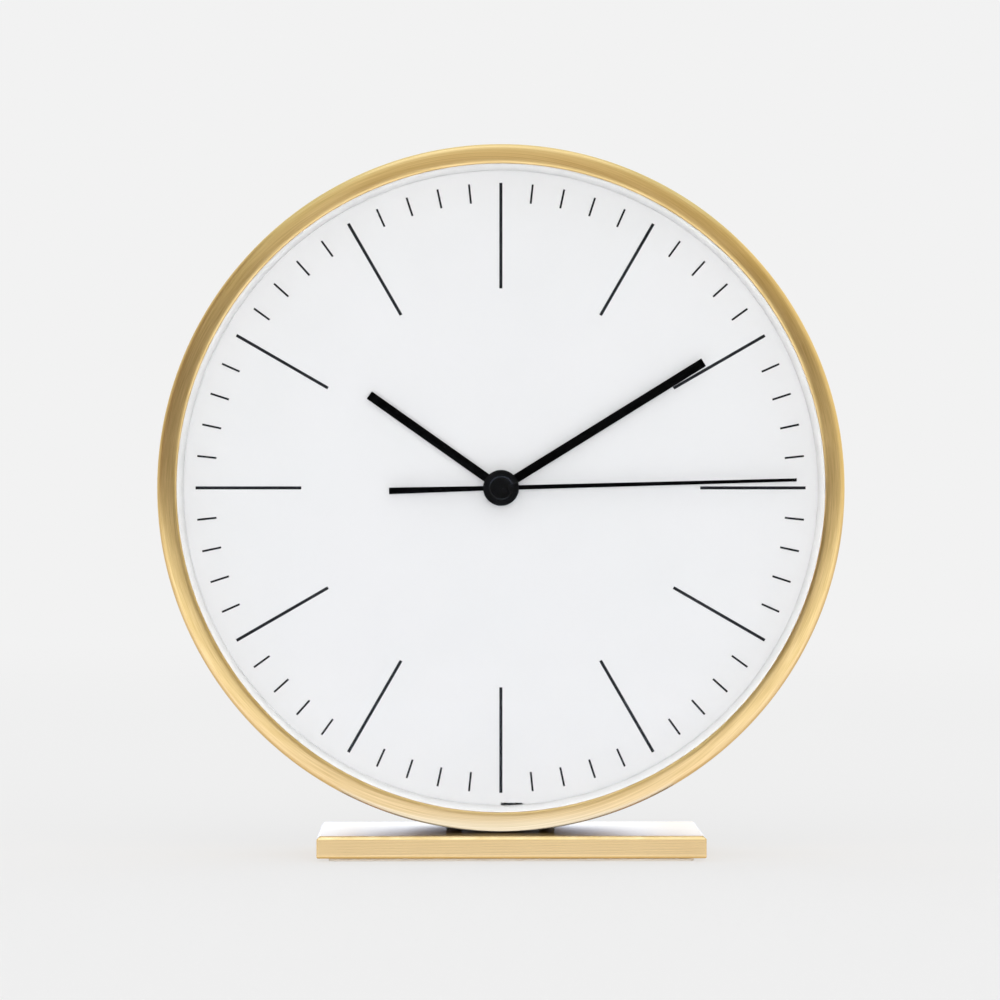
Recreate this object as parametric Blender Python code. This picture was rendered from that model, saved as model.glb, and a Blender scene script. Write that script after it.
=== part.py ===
"""A table clock: a round brass case with a quartz movement, standing on a flat brass plate.

Metres, +Z up. The dial faces -Y. The plate's rubber pad stands on Z = 0, and Y = 0 is the middle
of the plate's depth. Inside the case, a place is given as (x, depth, z): depth runs backwards
from the front face of the rim, and x and z are measured from the axis of the hands.
"""

import math

import bmesh
import bpy
from mathutils import Matrix, Vector

MM = 0.001

# Clearances that every piece shares
FIT = 0.3 * MM                    # gap between two neighbours that touch on the real clock
OVERRUN = 1.0 * MM                # how far a cutter runs past the face that it opens
MERGE_DISTANCE = 0.003 * MM       # points this close become one
SHARP_ANGLE = math.radians(35)    # edges steeper than this are shaded sharp

# Case
CASE_RADIUS = 87.5 * MM
CASE_DEPTH = 30.6 * MM
BEZEL_WIDTH = 5.0 * MM
BEZEL_SHOULDER = 2.8 * MM         # radius of the rim's rounded outer edge
BEZEL_CHAMFER = 0.4 * MM
LIP_DEPTH = 1.5 * MM              # brass in front of the glass
BORE_STEP = 1.2 * MM              # the bore opens by this much behind the dial
BACK_CHAMFER = 0.4 * MM
CASE_SIDES = 72
SHOULDER_STEPS = 3

# Glass, spacer and dial, stacked behind the lip
GLASS_BITE = 1.5 * MM             # how far the glass reaches behind the lip
GLASS_THICKNESS = 2.0 * MM
SPACER_LENGTH = 5.1 * MM
SPACER_TAPER = 1.25 * MM          # how much narrower the spacer is at the dial
DIAL_THICKNESS = 0.8 * MM
SLOT_WIDTH = 5.6 * MM             # the slot in the dial's rim, just right of 6 o'clock
SLOT_SHOWING = 0.6 * MM           # how much of it shows inside the spacer
DISC_SIDES = 60

# Snap ring behind the dial, in a groove of the case
RING_THICKNESS = 1.4 * MM
RING_WIDTH = 2.1 * MM
GROOVE_DEPTH = 1.0 * MM
GROOVE_WALL = 1.5 * MM            # brass behind the groove, up to the wider bore
RING_OPENING_SHARE = 0.05         # part of the full circle that is open
RING_STEPS = 48

# Rear cover, its lugs in the case and its screws
COVER_RECESS = 2.4 * MM
COVER_THICKNESS = 1.2 * MM
WINDOW_MARGIN = 1.0 * MM
LUG_REACH = 8.0 * MM
LUG_WIDTH = 8.0 * MM
LUG_LENGTH = 4.0 * MM
LUG_COUNT = 4
COVER_SCREW_RADIUS = 1.3 * MM
COVER_SCREW_LENGTH = 4.0 * MM
COVER_HEAD_RADIUS = 2.7 * MM
COVER_HEAD_HEIGHT = 1.6 * MM

# Plate that the case stands on, with its screws, saddle and rubber pad
BASE_WIDTH = 98.4 * MM
BASE_DEPTH = 48.0 * MM
BASE_THICKNESS = 5.65 * MM
BASE_SHIFT = 2.5 * MM             # the plate sits this far right of the case's axis
BASE_TOP_ROUND = 1.0 * MM
BASE_FOOT_ROUND = 0.4 * MM
BASE_TOP_STEPS = 3
BASE_FOOT_STEPS = 1
PAD_THICKNESS = 0.6 * MM
PAD_INSET = 3.0 * MM
PAD_CORNER = 2.0 * MM
BASE_SCREW_SPREAD = 24.0 * MM     # from the left screw to the right screw
BASE_SCREW_RADIUS = 2.0 * MM
BASE_HEAD_RADIUS = 4.0 * MM
BASE_HEAD_HEIGHT = 2.2 * MM
SADDLE_MARGIN = 5.0 * MM          # saddle beyond its screws, all round
SADDLE_RISE = 7.0 * MM            # height of the saddle over the case's bore
SADDLE_GRIP = 4.0 * MM            # length of screw inside the saddle

# Screws of every kind
SLOT_SHARE = 0.22                 # width of a screw's slot, of its head's radius
SLOT_DEPTH_SHARE = 0.45           # depth of the slot, of the head's height
SCREW_SIDES = 16

# Arbors, pipes and hands, all on one axis
ARBOR_RADIUS = 0.5 * MM
PIPE_WALL = 0.6 * MM
BUSH_WALL = 0.9 * MM
BUSH_PROUD = 0.5 * MM             # how far the bush stands in front of the dial
HAND_THICKNESS = 0.5 * MM
HAND_SPACING = 0.8 * MM           # clear room in front of the dial and of each hand
PIPE_PROUD = 0.15 * MM            # how far a pipe's end shows in front of its hand
EYE_MARGIN = 1.2 * MM             # metal of a hand around its pipe
HOUR_HAND_LENGTH = 41.2 * MM
HOUR_HAND_WIDTH = 2.3 * MM
MINUTE_HAND_LENGTH = 61.0 * MM
MINUTE_HAND_WIDTH = 2.3 * MM
SECOND_HAND_LENGTH = 75.6 * MM
SECOND_HAND_ROOT = 1.15 * MM
SECOND_HAND_TIP = 0.8 * MM
SECOND_TAIL_LENGTH = 28.6 * MM
SECOND_TAIL_END = 1.7 * MM
HOUR_ANGLE = math.radians(305.2)  # clockwise from 12, as the photograph shows them
MINUTE_ANGLE = math.radians(58.2)
SECOND_ANGLE = math.radians(88.45)
CAP_RADIUS = 4.6 * MM
CAP_THICKNESS = 0.8 * MM
CAP_ROUND = 0.35 * MM
CAP_ROUND_STEPS = 3
CAP_RING_RADIUS = 3.5 * MM
CAP_RING_WIDTH = 0.6 * MM
CAP_RING_DEPTH = 0.2 * MM
PIVOT_SIDES = 12
HUB_SIDES = 24

# Toothed wheels: modules and teeth, pair by pair from the motor to the hands
WHEEL_THICKNESS = 0.8 * MM
LEVEL_GAP = 0.5 * MM
ROTOR_MODULE = 0.38 * MM
ROTOR_TEETH = 6
FIFTH_TEETH = 36
FIFTH_MODULE = 0.46 * MM
FIFTH_PINION_TEETH = 6
SECOND_TEETH = 30
CENTRE_MODULE = 0.35 * MM
SECOND_PINION_TEETH = 6
THIRD_TEETH = 45
THIRD_PINION_TEETH = 6
CENTRE_TEETH = 48
SETTING_MODULE = 0.45 * MM
CANNON_TEETH = 12
REVERSE_TEETH = 36
REVERSE_PINION_TEETH = 10
HOUR_TEETH = 40
KNOB_TEETH = 12
ADDENDUM_SHARE = 0.8              # height of a tooth over the pitch circle, in modules
DEDENDUM_SHARE = 1.2              # depth of a tooth under the pitch circle, in modules
TOOTH_ROOT_SHARE = 0.25           # half width of a tooth at its root, in tooth pitches
TOOTH_TIP_SHARE = 0.10            # half width of a tooth at its tip, in tooth pitches
FIFTH_DIRECTION = math.radians(120)     # where each arbor lies, seen from the one before it
ROTOR_DIRECTION = math.radians(100)
THIRD_DIRECTION = 0.0
REVERSE_DIRECTION = math.radians(175)
KNOB_DIRECTION = math.radians(152)

# Movement box
MOVEMENT_WALL = 1.2 * MM
MOVEMENT_CORNER = 3.0 * MM
POCKET_MARGIN = 1.2 * MM          # room around the wheels and the coil
PLATE_THICKNESS = 0.8 * MM
PIVOT_DEPTH = 0.7 * MM
BOSS_WALL = 0.8 * MM
BOSS_BORE_DEPTH = 1.5 * MM
PEG_RADIUS = 1.3 * MM
PEG_INSET = 1.3 * MM              # wall of the pocket to the nearest side of a peg
EAR_REACH = 7.0 * MM
EAR_WIDTH = 8.0 * MM
EAR_THICKNESS = 1.4 * MM
EAR_SETBACK = 3.0 * MM            # from the movement's front to the front of its ears
POST_RADIUS = 2.5 * MM
POST_SCREW_RADIUS = 1.2 * MM
POST_HEAD_RADIUS = 2.4 * MM
POST_HEAD_HEIGHT = 1.5 * MM
CORNER_STEPS = 4

# Setting knob
KNOB_SHAFT_RADIUS = 1.2 * MM
KNOB_RADIUS = 6.0 * MM
KNOB_HEIGHT = 3.0 * MM
KNOB_FLUTES = 18
KNOB_FLUTE_DEPTH = 0.5 * MM

# Battery and contacts
BATTERY_RADIUS = 7.25 * MM
BATTERY_LENGTH = 49.2 * MM
BATTERY_SHOULDER = 0.8 * MM
NUB_RADIUS = 2.75 * MM
NUB_LENGTH = 1.0 * MM
BAY_MARGIN = 0.5 * MM
CONTACT_THICKNESS = 0.4 * MM
CONTACT_WIDTH = 9.0 * MM
CONTACT_HEIGHT = 10.0 * MM
LEG_WIDTH = 2.0 * MM
LEG_REACH = 4.0 * MM              # how far a contact's leg stands over the bay's upper wall
SPRING_LENGTH = 1.6 * MM
SPRING_WIRE_RADIUS = 0.25 * MM
SPRING_OUTER_RADIUS = 4.0 * MM
SPRING_INNER_RADIUS = 1.6 * MM
SPRING_TURNS = 2
SPRING_STEPS = 14
BATTERY_SIDES = 28

# Motor coil, stator and circuit board
MAGNET_RADIUS = 3.0 * MM
MAGNET_LENGTH = 2.0 * MM
STATOR_THICKNESS = 0.6 * MM
STATOR_AIR = 0.6 * MM             # air gap around the magnet
STATOR_RIM = 1.5 * MM
STATOR_ARM_WIDTH = 4.0 * MM
CORE_WIDTH = 2.2 * MM
CORE_THICKNESS = 0.8 * MM
COIL_LENGTH = 14.0 * MM
BOBBIN_WALL = 0.3 * MM
BOBBIN_FLANGE = 0.6 * MM
WINDING_THICKNESS = 0.5 * MM
FLANGE_PROUD = 0.2 * MM
STUD_RADIUS = 1.0 * MM
BOARD_THICKNESS = 1.0 * MM
BOARD_HEIGHT = 29.0 * MM
CHIP_SIDE = 4.0 * MM
CHIP_THICKNESS = 1.2 * MM
CHIP_HEIGHT_SHARE = 0.7           # how far up the board the chip sits
CRYSTAL_RADIUS = 1.0 * MM
CRYSTAL_LENGTH = 6.0 * MM
CRYSTAL_HEIGHT_SHARE = 0.4

# Radii and depths of the case and of what is stacked in it
lip_radius = CASE_RADIUS - BEZEL_WIDTH
glass_radius = lip_radius + GLASS_BITE
front_bore = glass_radius + FIT
back_bore = front_bore + BORE_STEP
glass_front = LIP_DEPTH + FIT
glass_back = glass_front + GLASS_THICKNESS
spacer_front = glass_back + FIT
spacer_back = spacer_front + SPACER_LENGTH
dial_front = spacer_back + FIT
dial_back = dial_front + DIAL_THICKNESS
groove_radius = front_bore + GROOVE_DEPTH
groove_front = dial_back
groove_back = groove_front + RING_THICKNESS + 2 * FIT
step_depth = groove_back + GROOVE_WALL
cover_back = CASE_DEPTH - COVER_RECESS
cover_front = cover_back - COVER_THICKNESS
lug_back = cover_front - FIT
lug_front = lug_back - LUG_LENGTH
lug_screw_radius = back_bore - LUG_REACH / 2

# Pipes and hands, from the arbor outwards and from the dial forwards
cannon_bore = ARBOR_RADIUS + FIT
cannon_radius = cannon_bore + PIPE_WALL
hour_bore = cannon_radius + FIT
hour_radius = hour_bore + PIPE_WALL
bush_bore = hour_radius + FIT
bush_radius = bush_bore + BUSH_WALL
dial_hole = bush_radius + FIT
hour_hand_back = dial_front - HAND_SPACING
hour_hand_front = hour_hand_back - HAND_THICKNESS
minute_hand_back = hour_hand_front - HAND_SPACING
minute_hand_front = minute_hand_back - HAND_THICKNESS
second_hand_back = minute_hand_front - HAND_SPACING
second_hand_front = second_hand_back - HAND_THICKNESS
cap_back = second_hand_front - FIT
cap_front = cap_back - CAP_THICKNESS

# Depths of the movement, level by level from its front wall
movement_front = dial_back + FIT
wall_back = movement_front + MOVEMENT_WALL
level_step = WHEEL_THICKNESS + LEVEL_GAP
hour_level = wall_back + LEVEL_GAP
reverse_level = hour_level + level_step
centre_level = reverse_level + level_step
plate_front = centre_level + level_step
plate_back = plate_front + PLATE_THICKNESS
third_level = plate_back + LEVEL_GAP
second_level = third_level + level_step
fifth_level = second_level + level_step
magnet_front = fifth_level + level_step
stator_front = magnet_front
core_front = stator_front + STATOR_THICKNESS + FIT
boss_front = magnet_front
magnet_boss_front = magnet_front + MAGNET_LENGTH + LEVEL_GAP
boss_reach = boss_front + BOSS_BORE_DEPTH
magnet_boss_reach = magnet_boss_front + BOSS_BORE_DEPTH

# Battery bay, which sets the depth and the width of the movement
battery_depth = wall_back + FIT + BATTERY_RADIUS
bay_back = battery_depth + BATTERY_RADIUS + FIT
movement_back = max(bay_back, magnet_boss_reach + MOVEMENT_WALL) + FIT
lid_front = movement_back - MOVEMENT_WALL
positive_room = FIT + CONTACT_THICKNESS + FIT
negative_room = FIT + SPRING_LENGTH + FIT + CONTACT_THICKNESS + FIT
pocket_half = (BATTERY_LENGTH + NUB_LENGTH + positive_room + negative_room) / 2
movement_half = pocket_half + MOVEMENT_WALL


def step_towards(place, direction, distance):
    """A point in the plane of the wheels, a distance away from another."""
    return (place[0] + distance * math.cos(direction), place[1] + distance * math.sin(direction))


def centre_distance(module, teeth, other_teeth):
    return module * (teeth + other_teeth) / 2


# Arbors, as (x, z) from the axis of the hands
axis_place = (0.0, 0.0)
fifth_distance = centre_distance(FIFTH_MODULE, FIFTH_PINION_TEETH, SECOND_TEETH)
rotor_distance = centre_distance(ROTOR_MODULE, ROTOR_TEETH, FIFTH_TEETH)
third_distance = centre_distance(CENTRE_MODULE, THIRD_PINION_TEETH, CENTRE_TEETH)
reverse_distance = centre_distance(SETTING_MODULE, CANNON_TEETH, REVERSE_TEETH)
knob_distance = centre_distance(SETTING_MODULE, REVERSE_TEETH, KNOB_TEETH)
fifth_place = step_towards(axis_place, FIFTH_DIRECTION, fifth_distance)
rotor_place = step_towards(fifth_place, ROTOR_DIRECTION, rotor_distance)
third_place = step_towards(axis_place, THIRD_DIRECTION, third_distance)
reverse_place = step_towards(axis_place, REVERSE_DIRECTION, reverse_distance)
knob_place = step_towards(reverse_place, KNOB_DIRECTION, knob_distance)
third_module = 2 * third_distance / (SECOND_PINION_TEETH + THIRD_TEETH)
hour_module = 2 * reverse_distance / (REVERSE_PINION_TEETH + HOUR_TEETH)
third_tip = third_module * (THIRD_TEETH / 2 + ADDENDUM_SHARE)
hour_tip = hour_module * (HOUR_TEETH / 2 + ADDENDUM_SHARE)

# Heights of the movement's pockets, from the axis of the hands
magnet_hole = MAGNET_RADIUS + STATOR_AIR
stator_half = magnet_hole + STATOR_RIM
core_reach = math.hypot(CORE_WIDTH, CORE_THICKNESS) / 2
bobbin_bore = core_reach + FIT
bobbin_radius = bobbin_bore + BOBBIN_WALL
winding_bore = bobbin_radius + FIT
winding_radius = winding_bore + WINDING_THICKNESS
flange_radius = winding_radius + FLANGE_PROUD
coil_height = rotor_place[1] + stator_half + flange_radius + FIT
pocket_top = coil_height + flange_radius + FIT
pocket_floor = -(max(third_tip, hour_tip) + POCKET_MARGIN)
bay_top = pocket_floor - MOVEMENT_WALL
battery_height = bay_top - BAY_MARGIN - BATTERY_RADIUS
bay_floor = battery_height - BATTERY_RADIUS - BAY_MARGIN
movement_top = pocket_top + MOVEMENT_WALL
movement_floor = bay_floor - MOVEMENT_WALL
ear_front = movement_front + EAR_SETBACK
ear_back = ear_front + EAR_THICKNESS
ear_place = movement_half + EAR_REACH / 2

# Heights above the table
base_bottom = PAD_THICKNESS + FIT
base_top = base_bottom + BASE_THICKNESS
axis_height = base_top + FIT + CASE_RADIUS
case_front_y = -CASE_DEPTH / 2
saddle_width = BASE_SCREW_SPREAD + 2 * SADDLE_MARGIN
saddle_depth = 2 * SADDLE_MARGIN
saddle_middle = step_depth + FIT + saddle_depth / 2
saddle_radius = back_bore - FIT
saddle_top = -saddle_radius + SADDLE_RISE
screw_lift = saddle_radius - math.sqrt(saddle_radius ** 2 - (BASE_SCREW_SPREAD / 2) ** 2)
base_screw_length = (axis_height - saddle_radius + screw_lift + SADDLE_GRIP
                     - base_bottom - BASE_HEAD_HEIGHT)

# Name, colour, roughness and metallic value of each finish
FINISHES = {
    "brass": ((0.66, 0.47, 0.24), 0.34, 1.0),
    "glass": ((0.95, 0.97, 0.97), 0.02, 0.0),
    "white_plastic": ((0.86, 0.86, 0.86), 0.45, 0.0),
    "dial_paint": ((0.88, 0.88, 0.89), 0.55, 0.0),
    "black_paint": ((0.02, 0.02, 0.02), 0.4, 0.0),
    "black_plastic": ((0.025, 0.025, 0.027), 0.5, 0.0),
    "steel": ((0.62, 0.62, 0.64), 0.3, 1.0),
    "nylon": ((0.82, 0.81, 0.76), 0.5, 0.0),
    "copper": ((0.72, 0.32, 0.16), 0.35, 1.0),
    "rubber": ((0.03, 0.03, 0.03), 0.8, 0.0),
    "board": ((0.05, 0.2, 0.09), 0.5, 0.0),
    "battery_wrap": ((0.12, 0.13, 0.15), 0.35, 0.3),
}


# Helpers


def clear_scene():
    for obj in list(bpy.data.objects):
        bpy.data.objects.remove(obj, do_unlink=True)


def finish(name):
    """The Principled material of a finish, made when it is first asked for."""
    material = bpy.data.materials.get(name)
    if material:
        return material
    colour, roughness, metallic = FINISHES[name]
    material = bpy.data.materials.new(name)
    material.use_nodes = True
    shader = material.node_tree.nodes["Principled BSDF"]
    shader.inputs["Base Color"].default_value = (*colour, 1.0)
    shader.inputs["Roughness"].default_value = roughness
    shader.inputs["Metallic"].default_value = metallic
    return material


def axis_empty(name, place, parent=None):
    """An empty on an axis along Y, which the pieces that share the axis hang on."""
    empty = bpy.data.objects.new(name, None)
    bpy.context.collection.objects.link(empty)
    empty.location = place
    empty.parent = parent
    return empty


def add_object(name, bm, parent, finish_name=None):
    """Turns a bmesh into an object. One without a finish is a cutter or a tool."""
    mesh = bpy.data.meshes.new(name)
    bmesh.ops.recalc_face_normals(bm, faces=bm.faces)
    bm.to_mesh(mesh)
    bm.free()
    obj = bpy.data.objects.new(name, mesh)
    bpy.context.collection.objects.link(obj)
    obj.parent = parent
    if finish_name:
        mesh.materials.append(finish(finish_name))
        mesh.shade_smooth()
        mesh.set_sharp_from_angle(angle=SHARP_ANGLE)
    else:
        obj.hide_render = True
        obj.display_type = "WIRE"
    return obj


def combine(target, tool, operation):
    """Joins a tool to a piece, cuts it out, or keeps what both share."""
    modifier = target.modifiers.new(tool.name, "BOOLEAN")
    modifier.operation = operation
    modifier.solver = "EXACT"
    modifier.object = tool


def turned(profile, sides, closed=False):
    """Spins (radius, depth) points round the Y axis. A closed profile makes a ring."""
    bm = bmesh.new()
    verts = [bm.verts.new((radius, depth, 0.0)) for radius, depth in profile]
    edges = [bm.edges.new(pair) for pair in zip(verts, verts[1:])]
    if closed:
        edges.append(bm.edges.new((verts[-1], verts[0])))
    bmesh.ops.spin(bm, geom=verts + edges, cent=(0, 0, 0), axis=(0, 1, 0), angle=math.tau,
                   steps=sides, use_merge=True)
    bmesh.ops.remove_doubles(bm, verts=bm.verts, dist=MERGE_DISTANCE)
    return bm


def prism(outline, front, back):
    """Extrudes an outline of (x, z) points backwards, from one depth to another."""
    bm = bmesh.new()
    face = bm.faces.new([bm.verts.new((x, front, z)) for x, z in outline])
    made = bmesh.ops.extrude_face_region(bm, geom=[face])
    moved = [item for item in made["geom"] if isinstance(item, bmesh.types.BMVert)]
    bmesh.ops.translate(bm, verts=moved, vec=(0, back - front, 0))
    return bm


def block(low, high):
    """A box between two corners."""
    bm = bmesh.new()
    add_block(bm, low, high)
    return bm


def add_block(bm, low, high):
    low, high = Vector(low), Vector(high)
    size = high - low
    matrix = Matrix.Translation((low + high) / 2) @ Matrix.Diagonal((*size, 1.0))
    bmesh.ops.create_cube(bm, size=1, matrix=matrix)


def add_rod(bm, place, radius, front, back, sides):
    """A round rod along Y, at a place (x, z)."""
    middle = Matrix.Translation((place[0], (front + back) / 2, place[1]))
    matrix = middle @ Matrix.Rotation(math.pi / 2, 4, "X")
    bmesh.ops.create_cone(bm, cap_ends=True, segments=sides, radius1=radius, radius2=radius,
                          depth=abs(back - front), matrix=matrix)


def rods(entries, sides=PIVOT_SIDES):
    """Several rods along Y in one mesh, each a (place, radius, front, back)."""
    bm = bmesh.new()
    for place, radius, front, back in entries:
        add_rod(bm, place, radius, front, back, sides)
    return bm


def rounded_rectangle(left, right, floor, top, corner):
    """The (x, z) outline of a rectangle with round corners."""
    points = []
    centres = ((right, top, 0), (left, top, 1), (left, floor, 2), (right, floor, 3))
    for x, z, quarter in centres:
        inward_x = corner if x == left else -corner
        inward_z = corner if z == floor else -corner
        for step in range(CORNER_STEPS + 1):
            angle = (quarter + step / CORNER_STEPS) * math.pi / 2
            points.append((x + inward_x + corner * math.cos(angle),
                           z + inward_z + corner * math.sin(angle)))
    return points


def arc(centre, radius, start, end, steps):
    """Points on an arc, from one angle to another, both ends included."""
    return [step_towards(centre, start + (end - start) * step / steps, radius)
            for step in range(steps + 1)]


# Toothed wheels


def tooth_outline(teeth, module, phase):
    """The (x, z) outline of a wheel with straight-sided teeth, one centred on the phase."""
    pitch_radius = module * teeth / 2
    root = pitch_radius - DEDENDUM_SHARE * module
    tip = pitch_radius + ADDENDUM_SHARE * module
    pitch = math.tau / teeth
    points = []
    for tooth in range(teeth):
        middle = phase + tooth * pitch
        for radius, share in ((root, -TOOTH_ROOT_SHARE), (tip, -TOOTH_TIP_SHARE),
                              (tip, TOOTH_TIP_SHARE), (root, TOOTH_ROOT_SHARE)):
            points.append(step_towards(axis_place, middle + share * pitch, radius))
    return points


def meshed_phase(teeth, phase, direction, other_teeth):
    """The phase that puts a second wheel in mesh with a first one, which it lies beyond."""
    return (direction + math.pi - (teeth / other_teeth) * (phase - direction)
            - math.pi / other_teeth)


def wheel(teeth, module, phase, level):
    return prism(tooth_outline(teeth, module, phase), level, level + WHEEL_THICKNESS)


def arbor_profile(sections):
    """The half profile of a stepped shaft, from (radius, end depth) sections."""
    start, rest = sections[0], sections[1:]
    points = [(0.0, start), (rest[0][0], start)]
    for index, (radius, end) in enumerate(rest):
        points.append((radius, end))
        if index + 1 < len(rest):
            points.append((rest[index + 1][0], end))
    points.append((0.0, rest[-1][1]))
    return points


def arbor_with_wheels(name, axis, sections, wheels, finish_name="nylon", sides=PIVOT_SIDES):
    """One piece: a stepped shaft along an axis with toothed wheels on it."""
    shaft = add_object(name, turned(arbor_profile(sections), sides), axis, finish_name)
    for index, (teeth, module, phase, level) in enumerate(wheels):
        tool = add_object(f"{name}_teeth_{index}", wheel(teeth, module, phase, level), axis)
        combine(shaft, tool, "UNION")
    return shaft


# Case and what is stacked in it


def case_profile():
    """The case's ring section, from the lip outwards and back along the bore."""
    shoulder = arc((CASE_RADIUS - BEZEL_SHOULDER, BEZEL_SHOULDER), BEZEL_SHOULDER,
                   -math.pi / 2, 0.0, SHOULDER_STEPS)
    return [
        (lip_radius + BEZEL_CHAMFER, 0.0),
        *shoulder,
        (CASE_RADIUS, CASE_DEPTH - BACK_CHAMFER),
        (CASE_RADIUS - BACK_CHAMFER, CASE_DEPTH),
        (back_bore, CASE_DEPTH),
        (back_bore, step_depth),
        (front_bore, step_depth),
        (front_bore, groove_back),
        (groove_radius, groove_back),
        (groove_radius, groove_front),
        (front_bore, groove_front),
        (front_bore, LIP_DEPTH),
        (lip_radius, LIP_DEPTH),
        (lip_radius, BEZEL_CHAMFER),
    ]


def lug_angles():
    """Where the lugs stand round the case, halfway between the clock's main directions."""
    return [math.tau * (index + 0.5) / LUG_COUNT for index in range(LUG_COUNT)]


def make_case(case):
    drum = add_object("case_drum", turned(case_profile(), CASE_SIDES, closed=True), case, "brass")
    lugs = bmesh.new()
    holes = bmesh.new()
    wall_middle = (back_bore + CASE_RADIUS) / 2
    for angle in lug_angles():
        lug = block((back_bore - LUG_REACH, lug_front, -LUG_WIDTH / 2),
                    (wall_middle, lug_back, LUG_WIDTH / 2))
        lug.transform(Matrix.Rotation(-angle, 4, "Y"))
        lug_mesh = bpy.data.meshes.new("lug")
        lug.to_mesh(lug_mesh)
        lug.free()
        lugs.from_mesh(lug_mesh)
        bpy.data.meshes.remove(lug_mesh)
        add_rod(holes, step_towards(axis_place, angle, lug_screw_radius),
                COVER_SCREW_RADIUS + FIT, lug_front - OVERRUN, lug_back + OVERRUN, PIVOT_SIDES)
    combine(drum, add_object("case_lugs", lugs, case), "UNION")
    combine(drum, add_object("case_lug_holes", holes, case), "DIFFERENCE")
    combine(drum, base_screw_holes("case_screw_holes", case), "DIFFERENCE")
    return drum


def base_screw_holes(name, case):
    """Two upright rods through the case's wall, its saddle and the plate."""
    holes = bmesh.new()
    low = -axis_height - OVERRUN
    high = saddle_top + OVERRUN
    for side in (-1, 1):
        place = Matrix.Translation((side * BASE_SCREW_SPREAD / 2, saddle_middle, (low + high) / 2))
        radius = BASE_SCREW_RADIUS + FIT
        bmesh.ops.create_cone(holes, cap_ends=True, segments=SCREW_SIDES, radius1=radius,
                              radius2=radius, depth=high - low, matrix=place)
    return add_object(name, holes, case)


def make_glass(case):
    profile = [(0.0, glass_front), (glass_radius, glass_front), (glass_radius, glass_back),
               (0.0, glass_back)]
    return add_object("front_glass", turned(profile, DISC_SIDES), case, "glass")


def make_spacer(case):
    profile = [(lip_radius, spacer_front), (glass_radius, spacer_front),
               (glass_radius, spacer_back), (lip_radius - SPACER_TAPER, spacer_back)]
    return add_object("glass_spacer", turned(profile, DISC_SIDES, closed=True), case,
                      "white_plastic")


def make_dial(case):
    profile = [(dial_hole, dial_front), (glass_radius, dial_front), (glass_radius, dial_back),
               (dial_hole, dial_back)]
    dial = add_object("dial_plate", turned(profile, DISC_SIDES, closed=True), case, "dial_paint")
    slot_reach = lip_radius - SPACER_TAPER - SLOT_SHOWING
    slot = block((0.0, dial_front - OVERRUN, -glass_radius - OVERRUN),
                 (SLOT_WIDTH, dial_back + OVERRUN, -slot_reach))
    combine(dial, add_object("dial_slot", slot, case), "DIFFERENCE")
    return dial


def make_snap_ring(case):
    """A flat ring with an opening at the top, sprung into the groove."""
    outer = groove_radius - FIT
    opening = math.tau * RING_OPENING_SHARE
    start = math.pi / 2 + opening / 2
    end = start + math.tau - opening
    outline = arc(axis_place, outer, start, end, RING_STEPS)
    outline += arc(axis_place, outer - RING_WIDTH, end, start, RING_STEPS)
    ring = prism(outline, groove_front + FIT, groove_front + FIT + RING_THICKNESS)
    return add_object("snap_ring", ring, case, "steel")


def make_rear_cover(case):
    cover_radius = back_bore - FIT
    profile = [(0.0, cover_front), (cover_radius, cover_front), (cover_radius, cover_back),
               (0.0, cover_back)]
    cover = add_object("rear_cover", turned(profile, DISC_SIDES), case, "black_paint")
    reach = movement_half + WINDOW_MARGIN
    outline = rounded_rectangle(-reach, reach, movement_floor - WINDOW_MARGIN,
                                movement_top + WINDOW_MARGIN, MOVEMENT_CORNER + WINDOW_MARGIN)
    window = prism(outline, cover_front - OVERRUN, cover_back + OVERRUN)
    combine(cover, add_object("cover_window", window, case), "DIFFERENCE")
    holes = rods([(step_towards(axis_place, angle, lug_screw_radius), COVER_SCREW_RADIUS + FIT,
                   cover_front - OVERRUN, cover_back + OVERRUN) for angle in lug_angles()])
    combine(cover, add_object("cover_screw_holes", holes, case), "DIFFERENCE")
    return cover


# Screws


def make_screw(name, place, turn, head_radius, head_height, shank_radius, length, parent,
               finish_name, countersunk=False):
    """A slotted screw whose head starts at its place and whose shank runs along its own +Y."""
    top = head_radius if countersunk else head_radius * math.cos(math.pi / 6)
    flank = [] if countersunk else [(head_radius, head_height)]
    profile = [(0.0, 0.0), (top, 0.0), *flank, (shank_radius, head_height),
               (shank_radius, head_height + length), (0.0, head_height + length)]
    screw = add_object(name, turned(profile, SCREW_SIDES), parent, finish_name)
    half = SLOT_SHARE * head_radius / 2
    slot = block((-head_radius - OVERRUN, -OVERRUN, -half),
                 (head_radius + OVERRUN, SLOT_DEPTH_SHARE * head_height, half))
    cutter = add_object(f"{name}_slot", slot, parent)
    for obj in (screw, cutter):
        obj.location = place
        obj.rotation_euler = turn
    combine(screw, cutter, "DIFFERENCE")
    return screw


def make_cover_screws(case):
    for index, angle in enumerate(lug_angles(), start=1):
        x, z = step_towards(axis_place, angle, lug_screw_radius)
        head_back = cover_back + FIT + COVER_HEAD_HEIGHT
        make_screw(f"cover_screw_{index}", (x, head_back, z), (math.pi, 0, 0),
                   COVER_HEAD_RADIUS, COVER_HEAD_HEIGHT, COVER_SCREW_RADIUS,
                   COVER_SCREW_LENGTH, case, "steel")


def make_movement_screws(case):
    length = ear_back + FIT - (movement_front + FIT)
    for side, name in ((-1, "left"), (1, "right")):
        head_back = ear_back + FIT + POST_HEAD_HEIGHT
        make_screw(f"movement_screw_{name}", (side * ear_place, head_back, 0.0),
                   (math.pi, 0, 0), POST_HEAD_RADIUS, POST_HEAD_HEIGHT, POST_SCREW_RADIUS,
                   length, case, "steel")


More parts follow.
